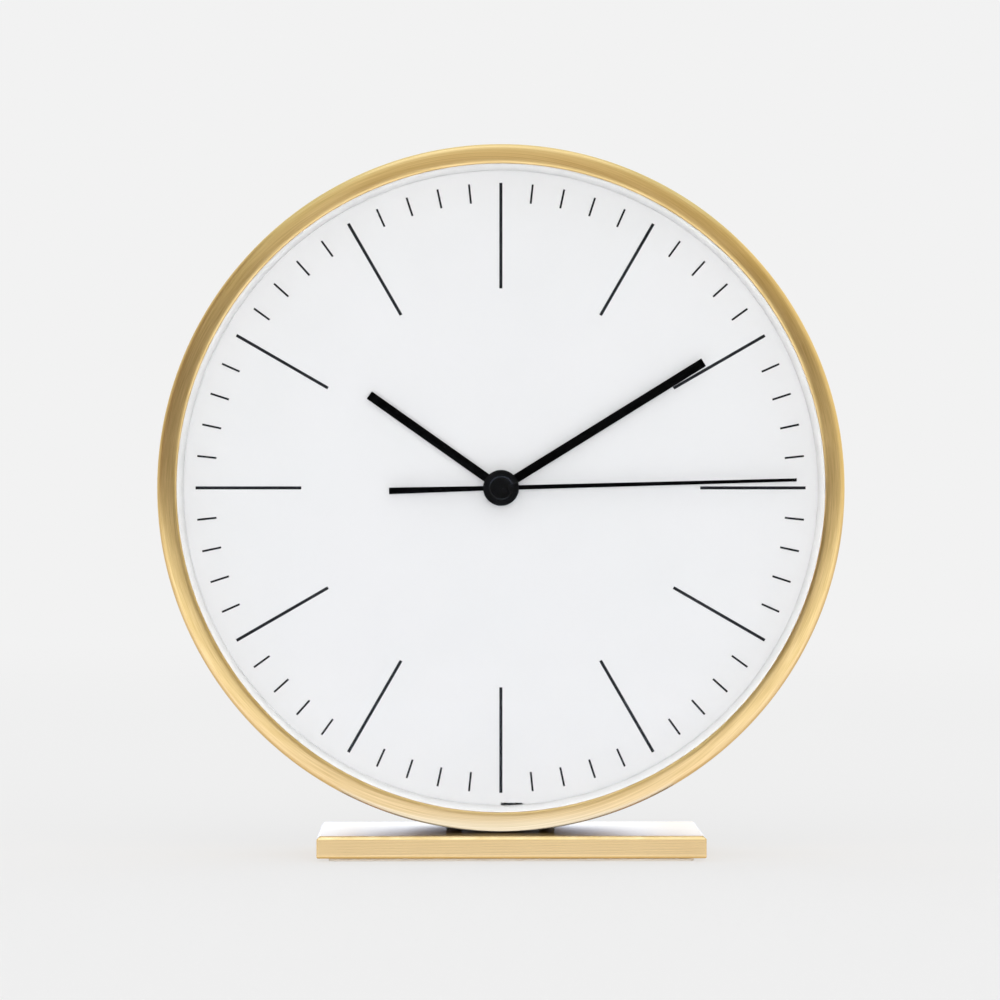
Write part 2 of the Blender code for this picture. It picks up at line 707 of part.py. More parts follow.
def make_dial_posts(case):
    """Threaded posts behind the dial, which the movement's ears are screwed to."""
    bore = POST_SCREW_RADIUS + FIT
    profile = [(bore, movement_front), (POST_RADIUS, movement_front),
               (POST_RADIUS, ear_front - FIT), (bore, ear_front - FIT)]
    for side, name in ((-1, "left"), (1, "right")):
        post = add_object(f"dial_post_{name}", turned(profile, SCREW_SIDES, closed=True), case,
                          "brass")
        post.location = (side * ear_place, 0.0, 0.0)


# Plate, saddle and pad


def make_base(case):
    low = (BASE_SHIFT - BASE_WIDTH / 2, -BASE_DEPTH / 2, base_bottom)
    high = (BASE_SHIFT + BASE_WIDTH / 2, BASE_DEPTH / 2, base_top)
    bm = block(low, high)
    top_edges = [edge for edge in bm.edges
                 if all(vert.co.z > (base_bottom + base_top) / 2 for vert in edge.verts)]
    bmesh.ops.bevel(bm, geom=top_edges, offset=BASE_TOP_ROUND, segments=BASE_TOP_STEPS, profile=0.5,
                    affect="EDGES", material=-1)
    foot_edges = [edge for edge in bm.edges
                  if all(vert.co.z < base_bottom + FIT for vert in edge.verts)]
    bmesh.ops.bevel(bm, geom=foot_edges, offset=BASE_FOOT_ROUND, segments=BASE_FOOT_STEPS, profile=0.5,
                    affect="EDGES", material=-1)
    base = add_object("base_plate", bm, None, "brass")
    combine(base, base_screw_holes("base_screw_holes", case), "DIFFERENCE")
    sinks = bmesh.new()
    for side in (-1, 1):
        sink_depth = BASE_HEAD_HEIGHT + OVERRUN
        slope = (BASE_HEAD_RADIUS - BASE_SCREW_RADIUS) / BASE_HEAD_HEIGHT
        place = (side * BASE_SCREW_SPREAD / 2, case_front_y + saddle_middle,
                 base_bottom + sink_depth / 2 - OVERRUN)
        bmesh.ops.create_cone(sinks, cap_ends=True, segments=SCREW_SIDES,
                              radius1=BASE_HEAD_RADIUS + FIT + slope * OVERRUN,
                              radius2=BASE_SCREW_RADIUS + FIT, depth=sink_depth,
                              matrix=Matrix.Translation(place))
    combine(base, add_object("base_countersinks", sinks, None), "DIFFERENCE")
    return base


def make_base_screws(case):
    for side, name in ((-1, "left"), (1, "right")):
        make_screw(f"base_screw_{name}",
                   (side * BASE_SCREW_SPREAD / 2, saddle_middle, base_bottom - axis_height),
                   (math.pi / 2, 0, 0), BASE_HEAD_RADIUS, BASE_HEAD_HEIGHT, BASE_SCREW_RADIUS,
                   base_screw_length, case, "steel", countersunk=True)


def make_saddle(case):
    """A block inside the case with its underside curved to the bore."""
    bm = block((-saddle_width / 2, saddle_middle - saddle_depth / 2, -CASE_RADIUS),
               (saddle_width / 2, saddle_middle + saddle_depth / 2, saddle_top))
    saddle = add_object("saddle_block", bm, case, "steel")
    bore = turned([(0.0, 0.0), (saddle_radius, 0.0), (saddle_radius, CASE_DEPTH),
                   (0.0, CASE_DEPTH)], CASE_SIDES)
    combine(saddle, add_object("saddle_curve", bore, case), "INTERSECT")
    combine(saddle, base_screw_holes("saddle_screw_holes", case), "DIFFERENCE")
    return saddle


def make_pad():
    half_width = BASE_WIDTH / 2 - PAD_INSET
    half_depth = BASE_DEPTH / 2 - PAD_INSET
    outline = rounded_rectangle(BASE_SHIFT - half_width, BASE_SHIFT + half_width,
                                -half_depth, half_depth, PAD_CORNER)
    bm = prism(outline, 0.0, PAD_THICKNESS)
    bm.transform(Matrix.Rotation(math.pi / 2, 4, "X"))
    return add_object("base_pad", bm, None, "rubber")


# Hands


def hand_outline(eye_radius, bars):
    """A round eye with straight bars, each (direction, root width, tip width, length)."""
    points = []
    turns = [direction for direction, *_ in bars]
    for index, (direction, root, tip, length) in enumerate(bars):
        half_angle = math.asin(root / 2 / eye_radius)
        cosine, sine = math.cos(direction), math.sin(direction)
        for across in (-tip / 2, tip / 2):
            points.append((length * cosine - across * sine, length * sine + across * cosine))
        following = turns[(index + 1) % len(turns)]
        if following <= direction:
            following += math.tau
        next_root = bars[(index + 1) % len(bars)][1]
        next_half = math.asin(next_root / 2 / eye_radius)
        points += arc(axis_place, eye_radius, direction + half_angle, following - next_half,
                      HUB_SIDES // len(bars))
    return points


def make_hand(name, axis, angle, outline, bore, front, back):
    hand = add_object(name, prism(outline, front, back), axis, "black_paint")
    hole = rods([(axis_place, bore, front - OVERRUN, back + OVERRUN)], HUB_SIDES)
    cutter = add_object(f"{name}_hole", hole, axis)
    combine(hand, cutter, "DIFFERENCE")
    hand.rotation_euler = (0, angle, 0)
    return hand


def make_hands(axis):
    up = math.pi / 2
    hour_eye = hour_radius + FIT + EYE_MARGIN
    minute_eye = cannon_radius + FIT + EYE_MARGIN
    second_eye = minute_eye
    make_hand("hour_hand", axis, HOUR_ANGLE,
              hand_outline(hour_eye, [(up, HOUR_HAND_WIDTH, HOUR_HAND_WIDTH, HOUR_HAND_LENGTH)]),
              hour_radius + FIT, hour_hand_front, hour_hand_back)
    make_hand("minute_hand", axis, MINUTE_ANGLE,
              hand_outline(minute_eye,
                           [(up, MINUTE_HAND_WIDTH, MINUTE_HAND_WIDTH, MINUTE_HAND_LENGTH)]),
              cannon_radius + FIT, minute_hand_front, minute_hand_back)
    bars = [(up, SECOND_HAND_ROOT, SECOND_HAND_TIP, SECOND_HAND_LENGTH),
            (up + math.pi, SECOND_HAND_ROOT, SECOND_TAIL_END, SECOND_TAIL_LENGTH)]
    make_hand("second_hand", axis, SECOND_ANGLE, hand_outline(second_eye, bars),
              ARBOR_RADIUS + FIT, second_hand_front, second_hand_back)


def make_cap(axis):
    """A flat round cap with a soft edge and a shallow ring turned into its face."""
    ring_inner = CAP_RING_RADIUS - CAP_RING_WIDTH
    edge = arc((CAP_RADIUS - CAP_ROUND, cap_front + CAP_ROUND), CAP_ROUND, -math.pi / 2, 0.0,
               CAP_ROUND_STEPS)
    profile = [
        (0.0, cap_front),
        (ring_inner, cap_front),
        (ring_inner, cap_front + CAP_RING_DEPTH),
        (CAP_RING_RADIUS, cap_front + CAP_RING_DEPTH),
        (CAP_RING_RADIUS, cap_front),
        *edge,
        (CAP_RADIUS, cap_back),
        (0.0, cap_back),
    ]
    return add_object("hub_cap", turned(profile, HUB_SIDES), axis, "black_paint")


# Wheels of the movement


def make_running_train(axis, fifth, rotor, third):
    """From the motor's rotor to the second hand's arbor and on to the centre wheel."""
    fifth_phase = meshed_phase(SECOND_TEETH, 0.0, FIFTH_DIRECTION, FIFTH_PINION_TEETH)
    rotor_phase = meshed_phase(FIFTH_TEETH, 0.0, ROTOR_DIRECTION, ROTOR_TEETH)
    third_phase = meshed_phase(SECOND_PINION_TEETH, 0.0, THIRD_DIRECTION, THIRD_TEETH)
    third_pinion_phase = meshed_phase(CENTRE_TEETH, 0.0, THIRD_DIRECTION, THIRD_PINION_TEETH)
    bearing_end = boss_reach - FIT
    arbor_with_wheels("second_wheel", axis,
                      [second_hand_front - PIPE_PROUD, (ARBOR_RADIUS, bearing_end)],
                      [(SECOND_TEETH, FIFTH_MODULE, 0.0, second_level),
                       (SECOND_PINION_TEETH, third_module, 0.0, third_level)])
    arbor_with_wheels("fifth_wheel", fifth, [plate_front, (ARBOR_RADIUS, bearing_end)],
                      [(FIFTH_TEETH, ROTOR_MODULE, 0.0, fifth_level),
                       (FIFTH_PINION_TEETH, FIFTH_MODULE, fifth_phase, second_level)])
    arbor_with_wheels("rotor", rotor,
                      [plate_front, (ARBOR_RADIUS, magnet_front),
                       (MAGNET_RADIUS, magnet_front + MAGNET_LENGTH),
                       (ARBOR_RADIUS, magnet_boss_reach - FIT)],
                      [(ROTOR_TEETH, ROTOR_MODULE, rotor_phase, fifth_level)],
                      "black_plastic")
    arbor_with_wheels("third_wheel", third, [centre_level, (ARBOR_RADIUS, bearing_end)],
                      [(THIRD_TEETH, third_module, third_phase, third_level),
                       (THIRD_PINION_TEETH, CENTRE_MODULE, third_pinion_phase, centre_level)])
    centre = arbor_with_wheels("centre_wheel", axis,
                               [reverse_level + WHEEL_THICKNESS + FIT,
                                (cannon_radius, plate_front - FIT)],
                               [(CENTRE_TEETH, CENTRE_MODULE, 0.0, centre_level)],
                               sides=HUB_SIDES)
    bore_through(centre, axis, cannon_bore, reverse_level, plate_front)


def make_setting_train(axis, reverse, knob):
    """From the setting knob to the minute hand's pipe and the hour hand's pipe."""
    reverse_phase = meshed_phase(CANNON_TEETH, 0.0, REVERSE_DIRECTION, REVERSE_TEETH)
    reverse_pinion_phase = meshed_phase(HOUR_TEETH, 0.0, REVERSE_DIRECTION, REVERSE_PINION_TEETH)
    knob_phase = meshed_phase(REVERSE_TEETH, reverse_phase, KNOB_DIRECTION, KNOB_TEETH)
    pivot_start = wall_back - PIVOT_DEPTH + FIT
    cannon = arbor_with_wheels("cannon_pinion", axis,
                               [minute_hand_front - PIPE_PROUD,
                                (cannon_radius, reverse_level + WHEEL_THICKNESS)],
                               [(CANNON_TEETH, SETTING_MODULE, 0.0, reverse_level)],
                               "brass", HUB_SIDES)
    bore_through(cannon, axis, cannon_bore, second_hand_front, centre_level)
    hour = arbor_with_wheels("hour_wheel", axis,
                             [hour_hand_front - PIPE_PROUD,
                              (hour_radius, hour_level + WHEEL_THICKNESS)],
                             [(HOUR_TEETH, hour_module, 0.0, hour_level)], sides=HUB_SIDES)
    bore_through(hour, axis, hour_bore, minute_hand_front, reverse_level)
    arbor_with_wheels("reverse_wheel", reverse, [pivot_start, (ARBOR_RADIUS, plate_back)],
                      [(REVERSE_TEETH, SETTING_MODULE, reverse_phase, reverse_level),
                       (REVERSE_PINION_TEETH, hour_module, reverse_pinion_phase, hour_level)])
    make_set_knob(knob, pivot_start, knob_phase)


def bore_through(piece, axis, radius, front, back):
    """Opens a pipe along its axis."""
    tool = rods([(axis_place, radius, front - OVERRUN, back)], HUB_SIDES)
    combine(piece, add_object(f"{piece.name}_bore", tool, axis), "DIFFERENCE")


def make_set_knob(axis, pivot_start, phase):
    """The setting knob: fluted head, shaft and pinion in one."""
    shaft_front = reverse_level - FIT
    head_front = movement_back + FIT
    knob = arbor_with_wheels("set_knob", axis,
                             [pivot_start, (ARBOR_RADIUS, shaft_front),
                              (KNOB_SHAFT_RADIUS, head_front + KNOB_HEIGHT / 2)],
                             [(KNOB_TEETH, SETTING_MODULE, phase, reverse_level)],
                             "black_plastic")
    outline = []
    for index in range(2 * KNOB_FLUTES):
        radius = KNOB_RADIUS - KNOB_FLUTE_DEPTH * (index % 2)
        outline.append(step_towards(axis_place, math.pi * index / KNOB_FLUTES, radius))
    head = add_object("set_knob_head", prism(outline, head_front, head_front + KNOB_HEIGHT), axis)
    combine(knob, head, "UNION")
    return knob


# Movement box, plate and electronics


def peg_places():
    """Corners of the upper pocket where the plate is held, one left free for the board."""
    reach = pocket_half - PEG_INSET - PEG_RADIUS
    top = pocket_top - PEG_INSET - PEG_RADIUS
    floor = pocket_floor + PEG_INSET + PEG_RADIUS
    return [(-reach, top), (reach, top), (-reach, floor)]


def leg_depths():
    """Front and back of the contacts' legs, just behind the circuit board."""
    front = plate_back + FIT + BOARD_THICKNESS + FIT
    return front, front + LEG_WIDTH


def make_movement_housing(case):
    outline = rounded_rectangle(-movement_half, movement_half, movement_floor, movement_top,
                                MOVEMENT_CORNER)
    housing = add_object("movement_housing", prism(outline, movement_front, movement_back), case,
                         "black_plastic")
    ears = block((-movement_half - EAR_REACH, ear_front, -EAR_WIDTH / 2),
                 (movement_half + EAR_REACH, ear_back, EAR_WIDTH / 2))
    combine(housing, add_object("housing_ears", ears, case), "UNION")
    bush = rods([(axis_place, bush_radius, dial_front - BUSH_PROUD, wall_back)], HUB_SIDES)
    combine(housing, add_object("housing_bush", bush, case), "UNION")

    pocket = rounded_rectangle(-pocket_half, pocket_half, pocket_floor, pocket_top,
                               MOVEMENT_CORNER - MOVEMENT_WALL)
    pocket_cut = prism(pocket, wall_back, movement_back + OVERRUN)
    combine(housing, add_object("housing_pocket", pocket_cut, case), "DIFFERENCE")
    cuts = bmesh.new()
    add_block(cuts, (-pocket_half, wall_back, bay_floor),
              (pocket_half, movement_back + OVERRUN, bay_top))
    combine(housing, add_object("housing_bay", cuts, case), "DIFFERENCE")
    lid_step = block((-movement_half - OVERRUN, lid_front - FIT, bay_top),
                     (movement_half + OVERRUN, movement_back + OVERRUN, movement_top + OVERRUN))
    combine(housing, add_object("housing_lid_step", lid_step, case), "DIFFERENCE")

    leg_front, leg_back = leg_depths()
    notches = bmesh.new()
    notch_reach = pocket_half - positive_room
    for side in (-1, 1):
        near, far = sorted((side * notch_reach, side * pocket_half))
        add_block(notches, (near, leg_front - FIT, bay_top - OVERRUN),
                  (far, leg_back + FIT, pocket_floor + OVERRUN))
    combine(housing, add_object("housing_notches", notches, case), "DIFFERENCE")

    holes = [(axis_place, bush_bore, dial_front - BUSH_PROUD - OVERRUN, wall_back + OVERRUN)]
    for place in (reverse_place, knob_place):
        holes.append((place, ARBOR_RADIUS + FIT, wall_back - PIVOT_DEPTH, wall_back + OVERRUN))
    for side in (-1, 1):
        holes.append(((side * ear_place, 0.0), POST_SCREW_RADIUS + FIT, ear_front - OVERRUN,
                      ear_back + OVERRUN))
    combine(housing, add_object("housing_holes", rods(holes, SCREW_SIDES), case), "DIFFERENCE")
    pegs = rods([(place, PEG_RADIUS, wall_back - MOVEMENT_WALL / 2, plate_front - FIT)
                 for place in peg_places()])
    combine(housing, add_object("housing_pegs", pegs, case), "UNION")
    return housing


def stud_places():
    """Under the two ends of the coil's core."""
    reach = COIL_LENGTH / 2 + STATOR_ARM_WIDTH / 2 + LEVEL_GAP
    return [(rotor_place[0] + side * reach, coil_height) for side in (-1, 1)]


def make_gear_plate(case):
    corner = MOVEMENT_CORNER - MOVEMENT_WALL
    outline = rounded_rectangle(-pocket_half + FIT, pocket_half - FIT, pocket_floor + FIT,
                                pocket_top - FIT, corner)
    plate = add_object("gear_plate", prism(outline, plate_front, plate_back), case, "nylon")
    studs = rods([(place, STUD_RADIUS, plate_front + PLATE_THICKNESS / 2, stator_front - FIT)
                  for place in stud_places()])
    combine(plate, add_object("plate_studs", studs, case), "UNION")
    front, back = plate_front - OVERRUN, plate_back + OVERRUN
    holes = [(place, ARBOR_RADIUS + FIT, front, back)
             for place in (axis_place, fifth_place, rotor_place, third_place, reverse_place)]
    holes.append((knob_place, KNOB_SHAFT_RADIUS + FIT, front, back))
    combine(plate, add_object("plate_holes", rods(holes), case), "DIFFERENCE")
    return plate


def make_movement_cover(case):
    """The rear lid, with its bearings, its pegs and the hole for the knob."""
    outline = rounded_rectangle(-movement_half, movement_half, bay_top + FIT, movement_top,
                                MOVEMENT_CORNER)
    lid = add_object("movement_cover", prism(outline, lid_front, movement_back), case,
                     "black_plastic")
    root = lid_front + MOVEMENT_WALL / 2
    boss_radius = ARBOR_RADIUS + FIT + BOSS_WALL
    posts = [(place, boss_radius, boss_front, root)
             for place in (axis_place, third_place, fifth_place)]
    posts.append((rotor_place, boss_radius, magnet_boss_front, root))
    posts += [(place, PEG_RADIUS, plate_back + FIT, root) for place in peg_places()]
    posts += [(place, STUD_RADIUS, core_front + CORE_THICKNESS + FIT, root)
              for place in stud_places()]
    combine(lid, add_object("cover_posts", rods(posts), case), "UNION")
    holes = [(place, ARBOR_RADIUS + FIT, boss_front - OVERRUN, boss_reach)
             for place in (axis_place, third_place, fifth_place)]
    holes.append((rotor_place, ARBOR_RADIUS + FIT, magnet_boss_front - OVERRUN,
                  magnet_boss_reach))
    holes.append((knob_place, KNOB_SHAFT_RADIUS + FIT, lid_front - OVERRUN,
                  movement_back + OVERRUN))
    combine(lid, add_object("cover_holes", rods(holes), case), "DIFFERENCE")
    return lid


def make_motor(case):
    """Stator, core, bobbin and winding of the stepping motor."""
    x, z = rotor_place
    inner = COIL_LENGTH / 2 + LEVEL_GAP
    outer = inner + STATOR_ARM_WIDTH
    arm_top = coil_height + CORE_WIDTH / 2
    outline = [(x - outer, z - stator_half), (x + outer, z - stator_half), (x + outer, arm_top),
               (x + inner, arm_top), (x + inner, z + stator_half), (x - inner, z + stator_half),
               (x - inner, arm_top), (x - outer, arm_top)]
    stator = add_object("stator_plate",
                        prism(outline, stator_front, stator_front + STATOR_THICKNESS), case,
                        "steel")
    hole = rods([(rotor_place, magnet_hole, stator_front - OVERRUN,
                  stator_front + STATOR_THICKNESS + OVERRUN)], HUB_SIDES)
    combine(stator, add_object("stator_hole", hole, case), "DIFFERENCE")

    core = block((x - outer, core_front, coil_height - CORE_WIDTH / 2),
                 (x + outer, core_front + CORE_THICKNESS, coil_height + CORE_WIDTH / 2))
    add_object("coil_core", core, case, "steel")
    half = COIL_LENGTH / 2
    cheek = half - BOBBIN_FLANGE
    bobbin = turned([(bobbin_bore, -half), (flange_radius, -half), (flange_radius, -cheek),
                     (bobbin_radius, -cheek), (bobbin_radius, cheek), (flange_radius, cheek),
                     (flange_radius, half), (bobbin_bore, half)], HUB_SIDES, closed=True)
    winding_half = cheek - FIT
    winding = turned([(winding_bore, -winding_half), (winding_radius, -winding_half),
                      (winding_radius, winding_half), (winding_bore, winding_half)],
                     HUB_SIDES, closed=True)
    for name, bm, finish_name in (("coil_bobbin", bobbin, "white_plastic"),
                                  ("coil_winding", winding, "copper")):
        obj = add_object(name, bm, case, finish_name)
        obj.location = (x, core_front + CORE_THICKNESS / 2, coil_height)
        obj.rotation_euler = (0, 0, -math.pi / 2)


def make_board(case):
    """The circuit board beside the third wheel, with its chip and its crystal."""
    left = third_place[0] + third_tip + LEVEL_GAP
    right = pocket_half - positive_room
    floor = pocket_floor + 2 * FIT + CONTACT_THICKNESS
    front = plate_back + FIT
    back = front + BOARD_THICKNESS
    board = block((left, front, floor), (right, back, floor + BOARD_HEIGHT))
    add_object("circuit_board", board, case, "board")
    middle = (left + right) / 2
    chip_height = floor + CHIP_HEIGHT_SHARE * BOARD_HEIGHT
    chip = block((middle - CHIP_SIDE / 2, back + FIT, chip_height - CHIP_SIDE / 2),
                 (middle + CHIP_SIDE / 2, back + FIT + CHIP_THICKNESS,
                  chip_height + CHIP_SIDE / 2))
    add_object("clock_chip", chip, case, "black_plastic")
    profile = [(0.0, 0.0), (CRYSTAL_RADIUS, 0.0), (CRYSTAL_RADIUS, CRYSTAL_LENGTH),
               (0.0, CRYSTAL_LENGTH)]
    crystal = add_object("quartz_crystal", turned(profile, SCREW_SIDES), case, "steel")
    crystal.location = (middle, back + FIT + CRYSTAL_RADIUS,
                        floor + CRYSTAL_HEIGHT_SHARE * BOARD_HEIGHT - CRYSTAL_LENGTH / 2)
    crystal.rotation_euler = (math.pi / 2, 0, 0)


# Battery and contacts


def battery_ends():
    """The x of the battery's negative and positive ends, nub included."""
    left = -pocket_half + negative_room
    return left, left + BATTERY_LENGTH + NUB_LENGTH


def make_battery(axis):
    left, right = battery_ends()
    shoulder = BATTERY_SHOULDER
    profile = [(0.0, 0.0), (BATTERY_RADIUS - shoulder, 0.0), (BATTERY_RADIUS, shoulder),
               (BATTERY_RADIUS, BATTERY_LENGTH - shoulder),
               (BATTERY_RADIUS - shoulder, BATTERY_LENGTH), (NUB_RADIUS, BATTERY_LENGTH),
               (NUB_RADIUS, BATTERY_LENGTH + NUB_LENGTH), (0.0, BATTERY_LENGTH + NUB_LENGTH)]
    bm = turned(profile, BATTERY_SIDES)
    bm.transform(Matrix.Rotation(-math.pi / 2, 4, "Z"))
    bmesh.ops.translate(bm, verts=bm.verts, vec=(left, 0.0, 0.0))
    return add_object("battery", bm, axis, "battery_wrap")


def contact_outline():
    """A contact's plate and leg, as (depth, height) points."""
    leg_front, leg_back = leg_depths()
    front = battery_depth - CONTACT_WIDTH / 2
    back = battery_depth + CONTACT_WIDTH / 2
    low = battery_height - CONTACT_HEIGHT / 2
    high = battery_height + CONTACT_HEIGHT / 2
    leg_top = pocket_floor + LEG_REACH
    return [(front, low), (back, low), (back, high), (leg_back, high), (leg_back, leg_top),
            (leg_front, leg_top), (leg_front, high), (front, high)]


def make_contacts(case):
    for side, name in ((-1, "negative_contact"), (1, "positive_contact")):
        near = side * (pocket_half - FIT - CONTACT_THICKNESS)
        far = side * (pocket_half - FIT)
        bm = bmesh.new()
        face = bm.faces.new([bm.verts.new((near, depth, z)) for depth, z in contact_outline()])
        made = bmesh.ops.extrude_face_region(bm, geom=[face])
        moved = [item for item in made["geom"] if isinstance(item, bmesh.types.BMVert)]
        bmesh.ops.translate(bm, verts=moved, vec=(far - near, 0, 0))
        contact = add_object(name, bm, case, "steel")
        if side < 0:
            leg_front, leg_back = leg_depths()
            low = pocket_floor + FIT
            strip = block((near - CONTACT_THICKNESS / 2, leg_front, low),
                          (pocket_half - positive_room, leg_back, low + CONTACT_THICKNESS))
            combine(contact, add_object("negative_strip", strip, case), "UNION")


def make_battery_spring(case):
    """A flat cone of wire between the negative contact and the cell."""
    curve = bpy.data.curves.new("negative_spring", "CURVE")
    curve.dimensions = "3D"
    curve.bevel_depth = SPRING_WIRE_RADIUS
    curve.bevel_resolution = 1
    curve.use_fill_caps = True
    count = SPRING_TURNS * SPRING_STEPS
    spline = curve.splines.new("POLY")
    spline.points.add(count)
    start = -pocket_half + FIT + CONTACT_THICKNESS + FIT + SPRING_WIRE_RADIUS
    travel = SPRING_LENGTH - 2 * SPRING_WIRE_RADIUS
    for index, point in enumerate(spline.points):
        share = index / count
        radius = SPRING_OUTER_RADIUS + (SPRING_INNER_RADIUS - SPRING_OUTER_RADIUS) * share
        turn = math.tau * SPRING_TURNS * share
        point.co = (start + travel * share, battery_depth + radius * math.cos(turn),
                    battery_height + radius * math.sin(turn), 1.0)
    spring = bpy.data.objects.new("negative_spring", curve)
    bpy.context.collection.objects.link(spring)
    spring.parent = case
    curve.materials.append(finish("steel"))
    return spring


def main():
    clear_scene()
    case = axis_empty("case_axis", (0.0, case_front_y, axis_height))
    places = {"fifth_axis": fifth_place, "rotor_axis": rotor_place, "third_axis": third_place,
              "reverse_axis": reverse_place, "knob_axis": knob_place}
    axes = {name: axis_empty(name, (x, 0.0, z), case) for name, (x, z) in places.items()}
    hands = axis_empty("hand_axis", (0.0, 0.0, 0.0), case)
    cell = axis_empty("battery_axis", (0.0, battery_depth, battery_height), case)

    make_case(case)
    make_glass(case)
    make_spacer(case)
    make_dial(case)
    make_snap_ring(case)
    make_rear_cover(case)
    make_cover_screws(case)
    make_base(case)
    make_base_screws(case)
    make_saddle(case)
    make_pad()
    make_dial_posts(case)
    make_movement_screws(case)
    make_movement_housing(case)
    make_gear_plate(case)
    make_movement_cover(case)
    make_running_train(hands, axes["fifth_axis"], axes["rotor_axis"], axes["third_axis"])
    make_setting_train(hands, axes["reverse_axis"], axes["knob_axis"])
    make_motor(case)
    make_board(case)
    make_contacts(case)
    make_battery_spring(case)
    make_battery(cell)
    make_hands(hands)
    make_cap(hands)


main()
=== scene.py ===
# %% [markdown]
# # A satin brass table clock
#
# This lesson dresses a finished mechanical model of a table clock. The model's parts already have
# their exact places, so the lesson never moves them. It makes finer pieces for what shows, gives
# every part a procedural finish, and sets up a small white studio that matches one photograph.
#
# Lengths are in metres. Up is +Z and the dial faces -Y.

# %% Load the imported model
import math

import bmesh
import bpy
from mathutils import Matrix, Vector


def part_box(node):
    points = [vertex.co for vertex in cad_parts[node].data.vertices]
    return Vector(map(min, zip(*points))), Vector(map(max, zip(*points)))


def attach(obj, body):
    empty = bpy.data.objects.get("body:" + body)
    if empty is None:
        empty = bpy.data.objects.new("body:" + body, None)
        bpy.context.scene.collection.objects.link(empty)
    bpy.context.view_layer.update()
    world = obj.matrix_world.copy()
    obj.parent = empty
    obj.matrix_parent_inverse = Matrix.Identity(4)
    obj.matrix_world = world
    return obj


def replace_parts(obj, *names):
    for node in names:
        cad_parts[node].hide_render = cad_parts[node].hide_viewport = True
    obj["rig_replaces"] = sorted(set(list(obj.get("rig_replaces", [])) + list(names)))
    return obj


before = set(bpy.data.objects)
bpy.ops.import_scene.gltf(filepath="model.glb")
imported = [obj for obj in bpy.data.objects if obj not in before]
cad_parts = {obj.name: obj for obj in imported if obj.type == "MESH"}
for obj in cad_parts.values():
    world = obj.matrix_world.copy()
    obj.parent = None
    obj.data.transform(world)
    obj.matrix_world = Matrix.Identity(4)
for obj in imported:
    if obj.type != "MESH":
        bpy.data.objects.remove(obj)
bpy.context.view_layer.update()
MM = 0.001

# %% [markdown]
# ## Where things are
#
# A round clock is easiest to describe around the axis of its hands. Each point is given as
# (radius, depth), with the depth counted backwards from the front of the rim. The middle of the
# case and its front face come from the model, so that nothing is typed twice.

# %% The clock's own coordinates
case_low, case_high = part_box("case_drum")
AXIS_X = (case_low.x + case_high.x) / 2
AXIS_Z = (case_low.z + case_high.z) / 2
FRONT_Y = case_low.y
CASE_RADIUS = (case_high.x - case_low.x) / 2
CASE_DEPTH = case_high.y - case_low.y


def at(x, depth, z):
    """A point in the model's frame, from one in the clock's own coordinates."""
    return Vector((AXIS_X + x, FRONT_Y + depth, AXIS_Z + z))


def around(angle, radius):
    """(x, z) at an angle that runs clockwise from 12 o'clock."""
    return radius * math.sin(angle), radius * math.cos(angle)


def depths(node):
    """How deep a node starts and ends, counted from the rim's front."""
    low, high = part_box(node)
    return low.y - FRONT_Y, high.y - FRONT_Y


def half_width(node):
    low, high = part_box(node)
    return (high.x - low.x) / 2


print("axis height:", round(AXIS_Z, 5), "case radius:", round(CASE_RADIUS, 5))

# %% [markdown]
# ## Mesh helpers
#
# Nearly every part of a clock is turned, so one helper spins a profile into a closed ring or disc.
# A real edge is never perfectly sharp. Another helper bevels the edges that are sharper than 30
# degrees, so that each of them catches a thin line of light.

# %% Turning and softening
TURN_SIDES = 240
SMALL_SIDES = 64
MERGE = 0.001 * MM
SHARP = math.radians(30)


def spun(profile, sides=TURN_SIDES, closed=True):
    """Spins a profile of (radius, depth) points round the axis of the hands."""
    bm = bmesh.new()
    verts = [bm.verts.new((radius, depth, 0)) for radius, depth in profile]
    edges = [bm.edges.new(pair) for pair in zip(verts, verts[1:])]
    if closed:
        edges.append(bm.edges.new((verts[-1], verts[0])))
    bmesh.ops.spin(bm, geom=verts + edges, axis=(0, 1, 0), angle=math.tau, steps=sides,
                   use_merge=True)
    bmesh.ops.remove_doubles(bm, verts=bm.verts, dist=MERGE)
    bmesh.ops.recalc_face_normals(bm, faces=bm.faces)
    return bm


def soften(bm, width, segments=2, chosen=None):
    """Bevels the sharp edges, or only those that chosen() accepts."""
    edges = [edge for edge in bm.edges if edge.is_manifold and edge.calc_face_angle(0) > SHARP
             and (chosen is None or chosen(edge))]
    bmesh.ops.bevel(bm, geom=edges, offset=width, offset_type="OFFSET", segments=segments,
                    profile=0.5, affect="EDGES", material=-1, clamp_overlap=True)
    return bm


def placed(bm, x=0.0, depth=0.0, z=0.0, turn=0.0):
    """Turns a mesh clockwise about the axis, then moves it into the model's frame."""
    bm.transform(Matrix.Translation(at(x, depth, z)) @ Matrix.Rotation(turn, 4, "Y"))
    return bm


def slab(low, high):
    """A box between two corners, from the cube operator."""
    low, high = Vector(low), Vector(high)
    bm = bmesh.new()
    bmesh.ops.create_cube(bm, size=1, matrix=Matrix.Translation((low + high) / 2)
                          @ Matrix.Diagonal((*(high - low), 1)))
    return bm


def rod(radius, front, back, x=0.0, z=0.0, sides=SMALL_SIDES):
    """A round bar along the depth."""
    bm = bmesh.new()
    matrix = Matrix.Translation((x, (front + back) / 2, z)) @ Matrix.Rotation(math.pi / 2, 4, "X")
    bmesh.ops.create_cone(bm, cap_ends=True, segments=sides, radius1=radius, radius2=radius,
                          depth=back - front, matrix=matrix)
    return bm


def mesh_of(name, bm):
    """Ends a bmesh and keeps it as a mesh."""
    mesh = bpy.data.meshes.new(name)
    bm.to_mesh(mesh)
    bm.free()
    return mesh


